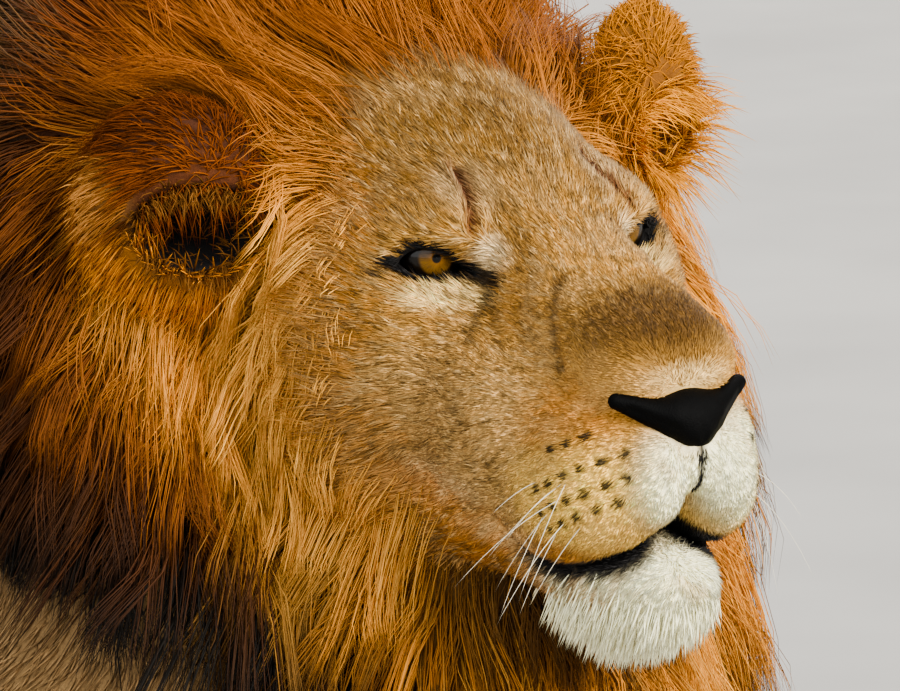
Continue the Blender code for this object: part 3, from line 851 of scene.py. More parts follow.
def face_colours(p):
    """Markings of the face: patches laid over one another, the same on skin and hair, with painted
    shadow under the jaw and painted shade along the folds and in the brow furrow.
    """
    place = from_eyes(p)
    side, forward, up = place.T
    colour = np.tile(linear(chosen("face_colour")), (len(p), 1))
    colour = paint(colour, 0.50 * step(-0.02, -0.07, up) * step(0.03, 0.06, side), GREY_TAN)
    colour = patched(colour, place, UPPER_PATCHES)
    colour = paint(colour, 0.85 * blob(place, *LEFT_PAD) * (p[:, 0] > 0), WHITE)
    colour = patched(colour, place, (LIP_PATCH,))
    bridge = blob(place, *BRIDGE_PATCH[2:])
    pad = blob(place, *PAD_PATCH[2:])
    under_cheek = np.maximum(*(blob(place, *patch) for patch in UNDER_CHEEK))
    colour = paint(colour, 0.90 * under_cheek, CHEEK_CREAM)
    colour = patched(colour, place, EYE_PATCHES)
    chin = step(-0.128, -0.138, up) * (1.0 - step(0.040, 0.060, side)) * step(0.045, 0.075, forward)
    jaw = union(p, JAW)
    upper = union(p, SKULL)
    below = 1.0 - step(0.0, 0.010, jaw - upper)
    # Painted shadow under the jaw, behind the chin.
    under_jaw_shadow = step(0.060, 0.030, forward) * step(-0.135, -0.150, up)
    colour = paint(colour, 0.85 * below * under_jaw_shadow, JAW_PAINTED_SHADOW)
    colour = paint(colour, 0.95 * chin * below, WHITE)
    edge = step(-20.0, -7.0, past_face(p) + 4.0 * wave(p, 0.02, 15, 2)) * step(0.060, 0.030, up)
    colour = paint(colour, 0.75 * edge, BORDER_GOLD)
    speck = wave(p, 0.0042, 11, 2)
    patchy = wave(p, 0.028, 12, 3)
    grey = (1.0 - step(0.06, 0.12, forward)) * (1.0 - 0.9 * np.maximum(pad, under_cheek))
    dark = step(0.05, 0.60, speck + 0.40 * patchy) * (0.18 + 0.82 * grey)
    colour = paint(colour, 0.78 * dark, SPECKLE)
    colour = paint(colour, 0.55 * step(0.10, 0.7, wave(p, 0.006, 14, 2)) * grey, PALE_SPECKLE)
    colour = paint(colour, 0.35 * step(0.05, 0.7, patchy) * (1.0 - bridge), SOFT_TAN)
    colour = paint(colour, 0.45 * bridge * step(-0.6, 0.4, speck), BRIDGE_SPECKLE)
    # Painted shade along the muzzle fold and the crease below the inner eye corner.
    lines = np.maximum(fold(side_view(p), *MUZZLE_FOLD, 0.0065),
                       0.8 * fold(side_view(p), *TEAR_FOLD, 0.0040))
    colour = paint(colour, 0.62 * lines * (side > 0.02), CREASE_PAINTED_SHADE)
    # Brow furrow: rust-brown, partly the coat's own rust and partly painted shade in the crease.
    brow = fold(front_view(p), *BROW_FOLD, 0.0066) * (forward > -0.03)
    colour = paint(colour, 0.95 * brow, BROW_RUST_AND_PAINTED_SHADE)
    colour = paint(colour, whisker_spots(place), DARK)
    colour = paint(colour, dark_edges(p), BLACK)
    near_lip = (1.0 - step(0.006, 0.018, upper)) * step(-0.004, 0.002, upper - jaw)
    near_lip = near_lip * step(0.05, 0.08, forward)
    colour = paint(colour, 0.75 * near_lip * step(-0.5, 0.6, speck), LIP_SHADE)
    reach = np.maximum(upper, jaw) - 0.004 * step(0.09, 0.13, forward)
    lip = (1.0 - step(0.0045, 0.0105, reach)) * step(0.045, 0.07, forward)
    colour = paint(colour, lip, BLACK)
    inside = blob(place, *MOUTH) * step(-0.001, 0.002, upper)
    colour = paint(colour, inside, BLACK)
    groove = 1.0 - step(0.0022, 0.0036, side + 0.0012 * step(-0.080, -0.096, up))
    groove = groove * (forward > 0.120) * (up < -0.066) * step(-0.112, -0.104, up)
    return paint(colour, groove, BLACK)


# Forward and up of each whisker row's first spot, and its number of spots.

WHISKER_ROWS = ((0.1210, -0.0735, 3), (0.1390, -0.0810, 6),
                (0.1420, -0.0930, 6), (0.1380, -0.1060, 5))


def whisker_roots():
    """Places of the whiskers' roots seen from the side, as pairs of forward and up."""
    return [(forward - 0.0087 * n, up - 0.0046 * n)
            for forward, up, count in WHISKER_ROWS for n in range(count)]


def whisker_spots(place):
    """Dark roots in four rows on each upper lip."""
    mask = np.zeros(len(place))
    for forward, up in whisker_roots():
        away = np.sqrt((place[:, 1] - forward) ** 2 + (place[:, 2] - up) ** 2)
        mask = np.maximum(mask, (1.0 - step(0.0017, 0.0034, away)) * (place[:, 0] > 0.018))
    return 0.95 * mask


def dark_edges(p):
    """Black rims of the lids, the tear line at each inner corner and the mark at the outer one."""
    mask = np.zeros(len(p))
    for side in (-1, 1):
        near = np.linalg.norm(p * (side, 1, 1) - BALL_AT, axis=1) < 0.075
        if not near.any():
            continue
        out, up, front = eye_frame(p[near], side)
        top, bottom, within = slit_heights(out)
        rim = np.maximum(np.maximum(up - top, bottom - up), -within - 0.002)
        rim = rim - 0.0014 * step(0.0, 0.003, up - top + 0.002)
        dark = (1.0 - step(0.0016, 0.0036, rim)) * (front > 0.0)
        thick = 0.0068 + 0.13 * np.minimum(out + 0.012, 0.0)
        bar = np.maximum(np.abs(up + 0.0030 - 0.16 * (out + 0.024)) - thick,
                         np.abs(out + 0.026) - 0.014)
        bar = (1.0 - step(0.0, 0.0022, bar)) * (front > 0.0) * (front < 0.034)
        dark = np.maximum(dark, 0.95 * bar)
        tear = np.abs(out + 0.040 + 0.30 * (up + 0.006)) - 0.0015
        tear = np.maximum(tear, np.maximum(up + 0.004, -0.036 - up))
        dark = np.maximum(dark, 0.65 * (1.0 - step(0.0, 0.0024, tear)) * (front > 0.0))
        corner = np.maximum(np.abs(up + 0.0050 + 0.6 * (out - 0.013)) - 0.0014,
                            np.abs(out - 0.018) - 0.006)
        dark = np.maximum(dark, 0.8 * (1.0 - step(0.0, 0.0018, corner)) * (front > -0.02))
        mask[near] = np.maximum(mask[near], dark)
    return mask


# The line where gold turns to brown, as rise and along of the slanted measures.

MANE_EDGE = ((-0.300, -0.025), (-0.233, -0.054), (-0.186, -0.090), (-0.155, -0.131),
             (-0.123, -0.163), (-0.082, -0.195), (-0.045, -0.204), (0.020, -0.220),
             (0.100, -0.205), (0.200, -0.180))

BESIDE_EAR = (0.6, RUST, (0.150, -0.15, 0.07), (0.08, 0.08, 0.06), 0.5)
# Painted shadow on the mane under the jaw.
THROAT_SHADOW_PATCH = (0.85, THROAT_PAINTED_SHADOW, (0.0, 0.045, -0.195), (0.065, 0.045, 0.030), 0.5)


def mane_colours(p):
    """Gold beside the face, rust about the ears, brown and then black behind and below, with painted
    shadow under the jaw, on the hair below it and in a ring round each ear.
    """
    place = from_eyes(p)
    side, _, up = place.T
    patch = wave(p, 0.07, 21, 3)
    colour = np.tile(linear(chosen("mane_colour")), (len(p), 1))
    colour = paint(colour, 0.45 * step(-0.1, 0.7, wave(p, 0.035, 22, 2)), PALE_GOLD)
    along, rise = slanted(p)
    pale = step(-0.185, -0.150, along) * step(0.04, 0.00, rise) * step(-0.21, -0.13, rise)
    colour = paint(colour, 0.50 * pale, PALE_GOLD)
    colour = paint(colour, 0.85 * step(0.015, 0.075, up + 0.02 * patch), RUST)
    colour = patched(colour, place, (BESIDE_EAR,))
    behind = np.interp(rise, *zip(*MANE_EDGE)) - 0.10 * step(0.02, 0.09, p[:, 0])
    behind = behind + 0.012 * patch - along
    colour = paint(colour, 0.94 * step(-0.008, 0.012, behind), BROWN)
    gap = 0.002 + 0.052 * step(-0.160, -0.100, rise)
    far = step(0.0, 0.022, behind - gap)
    colour = paint(colour, far * step(0.10, 0.03, rise), DARK)
    colour = paint(colour, 0.80 * far * step(0.03, 0.10, rise), NAPE_GREY)
    band = step(0.060, 0.035, over_shoulder(p)) * step(0.085, 0.105, side)
    colour = paint(colour, band, DARK)
    # Painted shadow under the jaw.
    colour = patched(colour, place, (THROAT_SHADOW_PATCH,))
    # Painted shadow on the hair below the jaw, placed in the slanted measures.
    hair_below_jaw_shadow = step(-0.080, -0.045, along) * step(-0.145, -0.168, rise) * step(-0.245, -0.215, rise)
    colour = paint(colour, 0.80 * hair_below_jaw_shadow, BREAST_PAINTED_SHADOW)
    # Painted shadow in a ring round the upper part of each ear.
    for side_of in (-1, 1):
        distance_for_ear_shadow = EARS[side_of][0].distance(p)
        colour = paint(colour, 0.6 * step(0.014, 0.004, distance_for_ear_shadow) * step(-0.01, 0.03, rise), DARK)
    low = step(-0.27, -0.36, up + 0.03 * patch)
    return paint(colour, 0.85 * low, DARK)


def body_colours(p):
    """Tawny grey on the back and flanks, paler under the belly and inside the legs."""
    colour = np.tile(linear(chosen("body_colour")), (len(p), 1))
    colour = paint(colour, 0.5 * step(0.30, 0.46, p[:, 2]), BACK_BROWN)
    colour = paint(colour, 0.6 * step(0.16, 0.06, p[:, 2]), BELLY_TAN)
    colour = paint(colour, 0.35 * step(0.0, 0.8, wave(p, 0.05, 31, 3)), FLANK_TAN)
    return paint(colour, 0.25 * step(0.1, 0.8, wave(p, 0.012, 32, 2)), FLANK_GREY)


def ear_colours(p):
    """Rust over the top, gold below and on the left ear's face, and a right cup painted dark with
    shade.
    """
    gold = step(-0.02, 0.03, p[:, 0])
    rest = 1.0 - 0.6 * gold
    colour = np.tile(linear(EAR_RUST), (len(p), 1)) * (1.0 - gold[:, None])
    colour = colour + linear(EAR_GOLD) * gold[:, None]
    colour = paint(colour, 0.6 * step(-0.3, 0.6, wave(p, 0.03, 71, 2)) * rest, RUST)
    over = p[:, 2] - EYES_AT[2] - 0.032 + 0.010 * wave(p, 0.03, 72, 2)
    colour = paint(colour, 0.85 * step(0.0, 0.030, over) * rest, EAR_TOP)
    lobe = step(-0.004, -0.024, over + 0.016) * (1.0 - gold)
    colour = paint(colour, 0.9 * lobe, EAR_LOBE)
    outer = blob(p - EARS[-1][0].centre, (-0.052, 0.0, 0.004), (0.016, 0.05, 0.030), 0.5)
    colour = paint(colour, 0.8 * outer, EAR_EDGE)
    # The right cup painted near black and the left one brown: painted shade in the right ear's hollow.
    for side, dark, share in ((-1, RIGHT_CUP_IN_PAINTED_SHADE, 1.0), (1, LEFT_CUP, 0.85)):
        inner = 1.0 - step(0.001, 0.006, EARS[side][1].distance(p))
        colour = paint(colour, share * inner, dark)
    return colour


def coat_colours(p):
    """Markings of the whole lion at places in the maker's axes."""
    mane = mane_share(p)
    face = head_share(p) * (1.0 - mane)
    ears = ear_share(p)
    colour = body_colours(p)
    for mask, shades in ((mane, mane_colours), (face, face_colours), (ears, ear_colours)):
        on = mask > 0.002
        if on.any():
            colour[on] += (shades(p[on]) - colour[on]) * mask[on][:, None]
    tip = step(0.62, 0.54, p[:, 1]) * step(0.42, 0.46, p[:, 0]) * step(0.12, 0.08, p[:, 2])
    return paint(colour, tip, DARK)


def give_colours(item, colours, name="coat_colour"):
    """Store linear colours on a mesh's points."""
    layer = item.data.color_attributes.new(name, "FLOAT_COLOR", "POINT")
    rgba = np.ones((len(colours), 4), np.float32)
    rgba[:, :3] = np.clip(colours, 0.0, 1.0)
    layer.data.foreach_set("color", rgba.ravel())


def unwrapped(p):
    """Places on a flat map of the skin: opened out from the face, and rolled out on the body."""
    q = p - np.array(head(0, -0.09, -0.06))
    flat = np.sqrt(q[:, 0] ** 2 + q[:, 2] ** 2) + 1e-9
    reach = np.arctan2(flat, -q[:, 1]) / math.pi * 0.47
    front = np.stack((0.5 + reach * q[:, 0] / flat, 0.5 + reach * q[:, 2] / flat), 1)
    turn = np.arctan2(p[:, 0], p[:, 2] - 0.22) / (2.0 * math.pi)
    back = np.stack((0.5 + 0.97 * turn, 0.02 + 0.96 * (p[:, 1] + 0.70) / 1.75), 1)
    on_body = (p[:, 1] > -0.10) | (p[:, 2] < 0.20)
    return np.where(on_body[:, None], back, front)


def give_map(item, per_point):
    """Store a UV map from one place a point."""
    mesh = item.data
    layer = mesh.uv_layers.new(name="OFBake")
    corner = np.zeros(len(mesh.loops), np.int32)
    mesh.loops.foreach_get("vertex_index", corner)
    layer.data.foreach_set("uv", per_point[corner].astype(np.float32).ravel())


PATCH = 0.0015


def shaded(colour, shade):
    """Colours made lighter and darker by a shade, whites less than the rest."""
    white = step(0.45, 0.85, colour.mean(-1, keepdims=True))
    shade = shade.reshape(shade.shape + (1,) * (colour.ndim - shade.ndim))
    return colour * (shade + (1.06 - shade) * 0.6 * white)


def tufts(place, normal, way, length, width, lift):
    """Short closed blades: a three-sided root drawn out to one tip lifted off the skin."""
    amount = len(place)
    way = unit(way - normal * (way * normal).sum(1)[:, None])
    across = np.cross(way, normal)
    tip = place + (way * np.cos(lift)[:, None] + normal * np.sin(lift)[:, None]) * length[:, None]
    half = (width / 2.0)[:, None]
    root = place - normal * half * 0.5
    ridge = root + normal * half * 1.3 - way * half
    points = np.stack((root + across * half, root - across * half, ridge, tip), 1)
    first = np.arange(amount)[:, None, None] * 4
    faces = np.array(((0, 2, 1), (0, 3, 2), (2, 3, 1), (1, 3, 0)))[None] + first
    local = np.array(((1, -1), (-1, -1), (0, -0.5), (0, 1))) * PATCH
    return points.reshape(-1, 3), faces.reshape(-1, 3), np.tile(local, (amount, 1)), 4


RINGS = np.array(((0.0, 1.0), (-0.866, -0.5), (0.866, -0.5)))
MANE_TAPER = np.array((0.8, 1.0, 0.9, 0.6))
EAR_TAPER = np.array((0.8, 1.0, 0.7))
TUFT_TAPER = np.array((0.8, 1.0, 0.85, 0.5))
WHISKER_WIDTH = 0.00048
SEEDS = {"face": 100, "body": 200, "mane": 300, "ears": 400, "chin": 500, "whiskers": 600, "tail": 700}
EAR_HAIRS = 10500
CHIN_HAIRS = 2600
TAIL_HAIRS = 1300
TAIL_LENGTH = 0.085


def strands(path, normal, width, taper):
    """Long closed blades: a flat three-cornered profile carried along each path to a tip."""
    amount, stops = path.shape[:2]
    along = unit(np.gradient(path, axis=1))
    across = unit(np.cross(along, normal[:, None, :]))
    rise = np.cross(across, along)
    size = width[:, None] / 2.0 * taper[None, :stops - 1]
    rings = []
    for x, y in RINGS:
        offset = across * (x * 1.15) + rise * (y * 0.6)
        rings.append(path[:, :-1] + offset[:, :-1] * size[..., None])
    rings = np.stack(rings, 2).reshape(amount, -1, 3)
    points = np.concatenate((rings, path[:, -1:]), 1)
    each = points.shape[1]
    faces = [(0, 1, 2)]
    for ring in range(stops - 2):
        for corner in range(3):
            a, b = ring * 3 + corner, ring * 3 + (corner + 1) % 3
            faces += [(a, b + 3, b), (a, a + 3, b + 3)]
    last = (stops - 2) * 3
    faces += [(last + corner, last + 3, last + (corner + 1) % 3) for corner in range(3)]
    faces = np.array(faces)[None] + np.arange(amount)[:, None, None] * each
    steps = np.linspace(-1.0, 1.0, stops)
    local = [(x * PATCH, y * PATCH) for y in steps[:-1] for x in (0.0, -1.0, 1.0)] + [(0.0, PATCH)]
    return points.reshape(-1, 3), faces.reshape(-1, 3), np.tile(np.array(local), (amount, 1)), each


def arcs(start, way, size, stops, drop):
    """Paths start + t way size + t^2 drop size, t from 0 to 1: hairs bent by their own weight."""
    t = np.linspace(0.0, 1.0, stops)[None, :, None]
    size = size[:, None, None]
    return start[:, None] + way[:, None] * t * size + drop * t ** 2 * size


def hair_steps(stops):
    """How far along its hair each point of a strand lies, 0 at the root and 1 at the tip."""
    return np.repeat(np.linspace(0.0, 1.0, stops), [3] * (stops - 1) + [1])[None, :, None]


def coat_piece(name, shape, roots, colours, nodes, look):
    """One joined mesh of hair with its colours, its bake map and its place in the frame."""
    points, faces, local, each = shape
    item = mesh_object(name, above_floor(points), faces)
    give_colours(item, colours)
    give_map(item, np.repeat(unwrapped(roots), each, 0) + local)
    item.data.materials.append(look)
    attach(item, "root")
    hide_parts(*nodes)
    return item


def body_lie(p):
    """The way the short coat lies: back from the nose, from chest to tail and down the legs."""
    total = np.zeros_like(p)
    for lump in BODY:
        near = between(p, lump.low, lump.high)
        if near.any():
            close = np.exp(-np.abs(lump.distance(p[near])) / 0.012)
            total[near] += close[:, None] * unit(np.array(lump.lie, float))
    total += np.array((0.0, 0.02, -0.01))
    on_head = head_share(p)[:, None]
    from_nose = unit(p - np.array(head(0, 0.165, -0.055)))
    return unit(unit(total) * (1.0 - on_head) + from_nose * on_head)


def mane_flow(p):
    """The way the mane flows: away from the face, then down with its own weight."""
    q = p - np.array(head(0, -0.06, -0.02))
    flat = unit(q * (1.0, 0.0, 1.0))
    up = p[:, 2] - EYES_AT[2]
    crown = step(0.0, 0.09, up)[:, None]
    away = flat * 0.55 + np.array((0.0, 0.75, 0.0))
    down = np.array((0.0, -0.10, -1.0))
    return unit(away * (0.35 + 0.65 * crown) + down * (1.0 - crown) * 0.95 + flat * 0.05)


def grown(place, normal, flow, length, height, stops, sway):
    """Paths that leave the skin, turn with the flow and stay at their own height over the skin."""
    p = place - normal * 0.003
    path = [p]
    n = normal
    pace = (length / (stops - 1))[:, None]
    for number in range(1, stops):
        t = number / (stops - 1)
        way = flow(p)
        way = unit(way - n * (way * n).sum(1)[:, None])
        rise = (0.95 * (1.0 - t) ** 1.5)
        p = p + unit(way + n * rise + sway * (0.6 + 0.6 * t)) * pace
        n = slope(flesh, p, 0.002)[0]
        over = flesh(p)
        want = height * (1.0 - (1.0 - t) ** 2) * 0.55
        low = np.clip(want - over, 0.0, 0.03)
        high = np.clip(over - height * 1.15, 0.0, 0.03)
        p = p + n * (low - 0.7 * high)[:, None]
        path.append(p)
    return np.stack(path, 1)


def nearest(places, targets):
    """For each place, which target is nearest."""
    choice = np.zeros(len(places), np.int64)
    for start in range(0, len(places), 2000):
        part = places[start:start + 2000]
        apart = ((part[:, None, :] - targets[None]) ** 2).sum(2)
        choice[start:start + 2000] = apart.argmin(1)
    return choice


# Finishes.

def new_material(name):
    """A material with only its Principled shader and output."""
    look = bpy.data.materials.new(name)
    look.use_nodes = True
    return look, look.node_tree.nodes, look.node_tree.links, look.node_tree.nodes["Principled BSDF"]


def shades_group():
    """Node group: a colour made lighter and darker by fine noise, with a bump of its grain."""
    group = bpy.data.node_groups.get("coat_shades")
    if group:
        return group
    group = bpy.data.node_groups.new("coat_shades", "ShaderNodeTree")
    face = group.interface
    face.new_socket("Color", in_out="INPUT", socket_type="NodeSocketColor")
    for name, value in (("Grain", 500.0), ("Contrast", 0.3), ("Bump", 0.3)):
        face.new_socket(name, in_out="INPUT", socket_type="NodeSocketFloat").default_value = value
    face.new_socket("Color", in_out="OUTPUT", socket_type="NodeSocketColor")
    face.new_socket("Normal", in_out="OUTPUT", socket_type="NodeSocketVector")
    nodes, links = group.nodes, group.links
    given = nodes.new("NodeGroupInput")
    result = nodes.new("NodeGroupOutput")
    place = nodes.new("ShaderNodeTexCoord")
    noise = nodes.new("ShaderNodeTexNoise")
    noise.inputs["Detail"].default_value = 3.0
    links.new(place.outputs["Object"], noise.inputs["Vector"])
    links.new(given.outputs["Grain"], noise.inputs["Scale"])
    centred = nodes.new("ShaderNodeMath")
    centred.operation = "SUBTRACT"
    centred.inputs[1].default_value = 0.5
    links.new(noise.outputs["Fac"], centred.inputs[0])
    gain = nodes.new("ShaderNodeMath")
    gain.operation = "MULTIPLY_ADD"
    gain.inputs[2].default_value = 1.0
    links.new(centred.outputs[0], gain.inputs[0])
    links.new(given.outputs["Contrast"], gain.inputs[1])
    shade = nodes.new("ShaderNodeVectorMath")
    shade.operation = "SCALE"
    links.new(given.outputs["Color"], shade.inputs[0])
    links.new(gain.outputs[0], shade.inputs["Scale"])
    links.new(shade.outputs[0], result.inputs["Color"])
    bump = nodes.new("ShaderNodeBump")
    bump.inputs["Distance"].default_value = 0.001
    links.new(noise.outputs["Fac"], bump.inputs["Height"])
    links.new(given.outputs["Bump"], bump.inputs["Strength"])
    links.new(bump.outputs[0], result.inputs["Normal"])
    return group


# Each finish as grain, contrast and bump of its shades, then roughness and gloss.

FINISHES = {
    "short_fur_skin": (700.0, 1.1, 0.7, 0.85, 0.15),
    "coat_hair": (260.0, 0.8, 0.0, 0.65, 0.18),
    "mane_hair": (160.0, 0.7, 0.0, 0.65, 0.09),
    "ear_hair": (160.0, 0.7, 0.0, 0.8, 0.03),
    "nose_leather": (1200.0, 0.5, 0.5, 0.6, 0.03),
    "floor": (3.0, 0.5, 0.0, 0.9, 0.2),
}


def finish(name):
    """A finish from the table, and the shades node that its colour goes into."""
    grain, contrast, bump, roughness, specular = FINISHES[name]
    look, nodes, links, shader = new_material(name)
    shades = nodes.new("ShaderNodeGroup")
    shades.node_tree = shades_group()
    for socket, value in (("Grain", grain), ("Contrast", contrast), ("Bump", bump)):
        shades.inputs[socket].default_value = value
    links.new(shades.outputs["Color"], shader.inputs["Base Color"])
    if bump > 0.0:
        links.new(shades.outputs["Normal"], shader.inputs["Normal"])
    shader.inputs["Roughness"].default_value = roughness
    shader.inputs["Specular IOR Level"].default_value = specular
    return look, shades


def coat_look(name):
    """A finish that takes its colour from the mesh's own colours."""
    look = bpy.data.materials.get(name)
    if look:
        return look
    look, shades = finish(name)
    colour = look.node_tree.nodes.new("ShaderNodeAttribute")
    colour.attribute_name = "coat_colour"
    look.node_tree.links.new(colour.outputs["Color"], shades.inputs["Color"])
    return look


def plain_look(name, colour):
    """A finish of one colour varied by fine noise."""
    look, shades = finish(name)
    shades.inputs["Color"].default_value = tuple(linear(colour)) + (1.0,)
    return look


# Nodes each coat stands for.

FLESH_NODES = ("belly", "chest", "fore_paw_left", "fore_paw_right", "forearm_left", "forearm_right",
               "head", "hind_paw_left", "hind_paw_right", "jaw", "neck", "rump", "shank_left",
               "shank_right", "tail", "thigh_left", "thigh_right", "upper_arm_left",
               "upper_arm_right", "ear_left", "ear_right")
FACE_NODES = ("head", "jaw", "ear_left", "ear_right")
BODY_NODES = tuple(n for n in FLESH_NODES if n not in FACE_NODES)
MANE_NODES = ("mane_bib", "mane_crown", "mane_left", "mane_right", "neck")


def make_skin():
    """One skin over every solid of flesh."""
    base = skin()
    item = mesh_object("skin", above_floor(base.points), base.quads)
    # Painted shade: the skin darkened under the coat, most of all under the mane and the ears.
    painted_shade_under_coat = 0.72 - 0.35 * mane_share(base.points) - 0.35 * ear_share(base.points)
    give_colours(item, shaded(coat_colours(base.points), painted_shade_under_coat))
    item.data.materials.append(coat_look("short_fur_skin"))
    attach(item, "root")
    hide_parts(*FLESH_NODES)


def face_weight(p):
    """Where face hair grows, closest on the front of the face."""
    share = head_share(p) * (1.0 - 0.7 * mane_share(p))
    share = share * (0.35 + 0.65 * step(0.30, -0.05, p[:, 1] - EYES_AT[1]))
    for side in (-1, 1):
        out, up, front = eye_frame(p, side)
        top, bottom, within = slit_heights(out)
        bare = np.maximum(np.maximum(up - top, bottom - up), -within) < 0.0006
        share[bare & (front > 0) & (np.abs(out) < 0.04)] = 0.0
    share[nose_distance(p) < 0.0012] = 0.0
    share[(np.maximum(union(p, SKULL), union(p, JAW)) < 0.0025) & (p[:, 1] < EYES_AT[1])] = 0.0
    return share


def fan(rng, amount, spread):
    """Small random sideways leans."""
    return rng.normal(scale=spread, size=(amount, 3))


def make_face_coat(amount, length):
    """Short hair of the face in three pieces, shortest on the bridge and muzzle."""
    for number in range(3):
        rng = np.random.default_rng(SEEDS["face"] + number)
        place, normal = skin().scatter(amount // 3, face_weight, rng)
        forward = EYES_AT[1] - place[:, 1]
        size = length * (1.25 - 0.75 * step(-0.06, 0.09, forward))
        size = size * rng.uniform(0.7, 1.3, len(place))
        chin = step(-0.135, -0.15, place[:, 2] - EYES_AT[2]) * step(0.03, 0.06, forward)
        size = size * (1.0 + 0.6 * chin + 1.3 * step(0.0, 0.6, mane_share(place)))
        way = body_lie(place) + fan(rng, len(place), 0.16)
        way = way + 0.25 * np.stack([wave(place, 0.02, 40 + n, 2) for n in range(3)], 1)
        lift = np.radians(rng.uniform(8, 24, len(place)))
        width = rng.uniform(0.0007, 0.0012, len(place))
        shape = tufts(place, normal, way, size, width, lift)
        shade = rng.uniform(0.72, 1.28, len(place)) * (1.0 + 0.12 * wave(place, 0.006, 50, 2))
        colour = np.repeat(shaded(coat_colours(place), shade), 4, 0)
        colour[3::4] *= 1.15
        coat_piece("face_coat_%d" % (number + 1), shape, place, colour, FACE_NODES,
                   coat_look("coat_hair"))


def body_weight(p):
    """Where the short coat of the body grows."""
    bare = np.maximum(mane_share(p), head_share(p))
    low = step(0.004, 0.03, p[:, 2])
    shoulder = blob(np.abs(p), (0.20, 0.26, 0.42), (0.12, 0.20, 0.20), 0.5)
    return (1.0 - bare) * (1.0 - ear_share(p)) * low * (1.0 + 3.0 * shoulder)


def make_body_coat(amount, length):
    """Short hair of trunk, legs and tail in two pieces, smallest on the feet."""
    for number in range(2):
        rng = np.random.default_rng(SEEDS["body"] + number)
        place, normal = skin().scatter(amount // 2, body_weight, rng)
        foot = step(0.14, 0.06, place[:, 2])
        size = length * (1.0 - 0.5 * foot) * rng.uniform(0.7, 1.3, len(place))
        way = body_lie(place) + fan(rng, len(place), 0.16)
        way = way + 0.25 * np.stack([wave(place, 0.06, 60 + n, 2) for n in range(3)], 1)
        lift = np.radians(rng.uniform(6, 16, len(place)))
        width = rng.uniform(0.0013, 0.0022, len(place)) * (1.0 - 0.3 * foot)
        shape = tufts(place, normal, way, size, width, lift)
        shade = rng.uniform(0.75, 1.25, len(place))
        colour = np.repeat(coat_colours(place) * shade[:, None], 4, 0)
        colour[3::4] *= 1.12
        coat_piece("body_coat_%d" % (number + 1), shape, place, colour, BODY_NODES,
                   coat_look("coat_hair"))


def mane_weight(p):
    """Where the mane's strands grow: on its underfur, thinning to nothing at the face."""
    return mane_share(p) / coarseness(p) ** 2


def coarseness(p):
    """How wide strands are at a place: finest beside the face, widest on the nape."""
    return 0.78 + 0.62 * step(-0.14, -0.30, EYES_AT[1] - p[:, 1])


def mane_length(p):
    """Strand length: short by the face and ears, longest on the neck and breast."""
    ahead, _ = face_angles(p)
    up = p[:, 2] - EYES_AT[2]
    long = 0.013 + 0.082 * step(60.0, 106.0, ahead)
    long = long + 0.070 * step(-0.07, -0.17, up)
    crown = step(0.05, 0.12, up)
    room = over_shoulder(p) + 0.014
    fits = np.where(np.abs(p[:, 0]) > 0.11, np.clip(room, 0.03, 1.0), 1.0)
    return np.minimum(long * (1.0 - 0.15 * crown), fits)


def make_mane(amount, locks, width):
    """The mane in four pieces: strands that start apart and draw together into wavy locks."""
    rng = np.random.default_rng(SEEDS["mane"])
    place, normal = skin().scatter(amount, mane_weight, rng)
    lock_place, lock_normal = skin().scatter(locks, mane_weight, rng)
    own = nearest(place, lock_place)
    stops = 5
    lock_length = mane_length(lock_place) * rng.uniform(0.75, 1.3, locks)
    lock_height = (0.018 + 0.020 * rng.random(locks)) * np.clip(lock_length / 0.085, 0.25, 1.0)
    lock_sway = rng.normal(scale=0.17, size=(locks, 3))
    length = lock_length[own] * rng.uniform(0.75, 1.12, amount)
    height = lock_height[own] * rng.uniform(0.35, 1.2, amount)
    sway = lock_sway[own] + rng.normal(scale=0.08, size=(amount, 3))
    path = grown(place, normal, mane_flow, length, height, stops, sway)
    guide = grown(lock_place, lock_normal, mane_flow, lock_length, lock_height, stops, lock_sway)
    t = np.linspace(0.0, 1.0, stops)[None, :, None]
    pull = 0.58 * t ** 1.1
    path = path * (1.0 - pull) + guide[own] * pull + (path[:, :1] - guide[own][:, :1]) * pull * 0.35
    phase = rng.random(locks)[own] * 6.283
    bend = np.sin(t[..., 0] * rng.uniform(3.0, 7.0, locks)[own][:, None] + phase[:, None])
    along = unit(np.gradient(path, axis=1))
    across = unit(np.cross(along, normal[:, None, :]))
    swing = 0.006 * np.clip(length / 0.06, 0.1, 1.0)[:, None, None]
    path = path + across * (bend[..., None] - np.sin(phase)[:, None, None]) * swing * t ** 0.8
    size = width * rng.uniform(0.6, 1.4, amount) * coarseness(place)
    shade = rng.uniform(0.76, 1.24, amount) * rng.uniform(0.86, 1.14, locks)[own]
    root_colour = mane_colours(place)
    tip_colour = mane_colours(path[:, 2])
    part = (amount + 3) // 4
    for number in range(4):
        pick = slice(number * part, (number + 1) * part)
        shape = strands(path[pick], normal[pick], size[pick], MANE_TAPER)
        mix = hair_steps(stops)
        colour = root_colour[pick][:, None] * (1.0 - mix) * 0.55
        colour = colour + tip_colour[pick][:, None] * (0.25 + 0.85 * mix)
        colour = colour * shade[pick][:, None, None]
        coat_piece("mane_%d" % (number + 1), shape, place[pick], colour.reshape(-1, 3),
                   MANE_NODES, coat_look("mane_hair"))


def ear_hair_weight(side):
    """Weight of one ear, rim and front edge most."""
    def weight(p):
        """Weight of this ear's skin at places."""
        disc, cup = EARS[side]
        near = between(p, disc.low, disc.high)
        share = np.zeros(len(p))
        share[near] = 1.0 - step(0.002, 0.010, disc.distance(p[near]))
        share[near] *= 1.0 + 0.3 * (1.0 - step(0.004, 0.012, cup.distance(p[near])))
        return share
    return weight


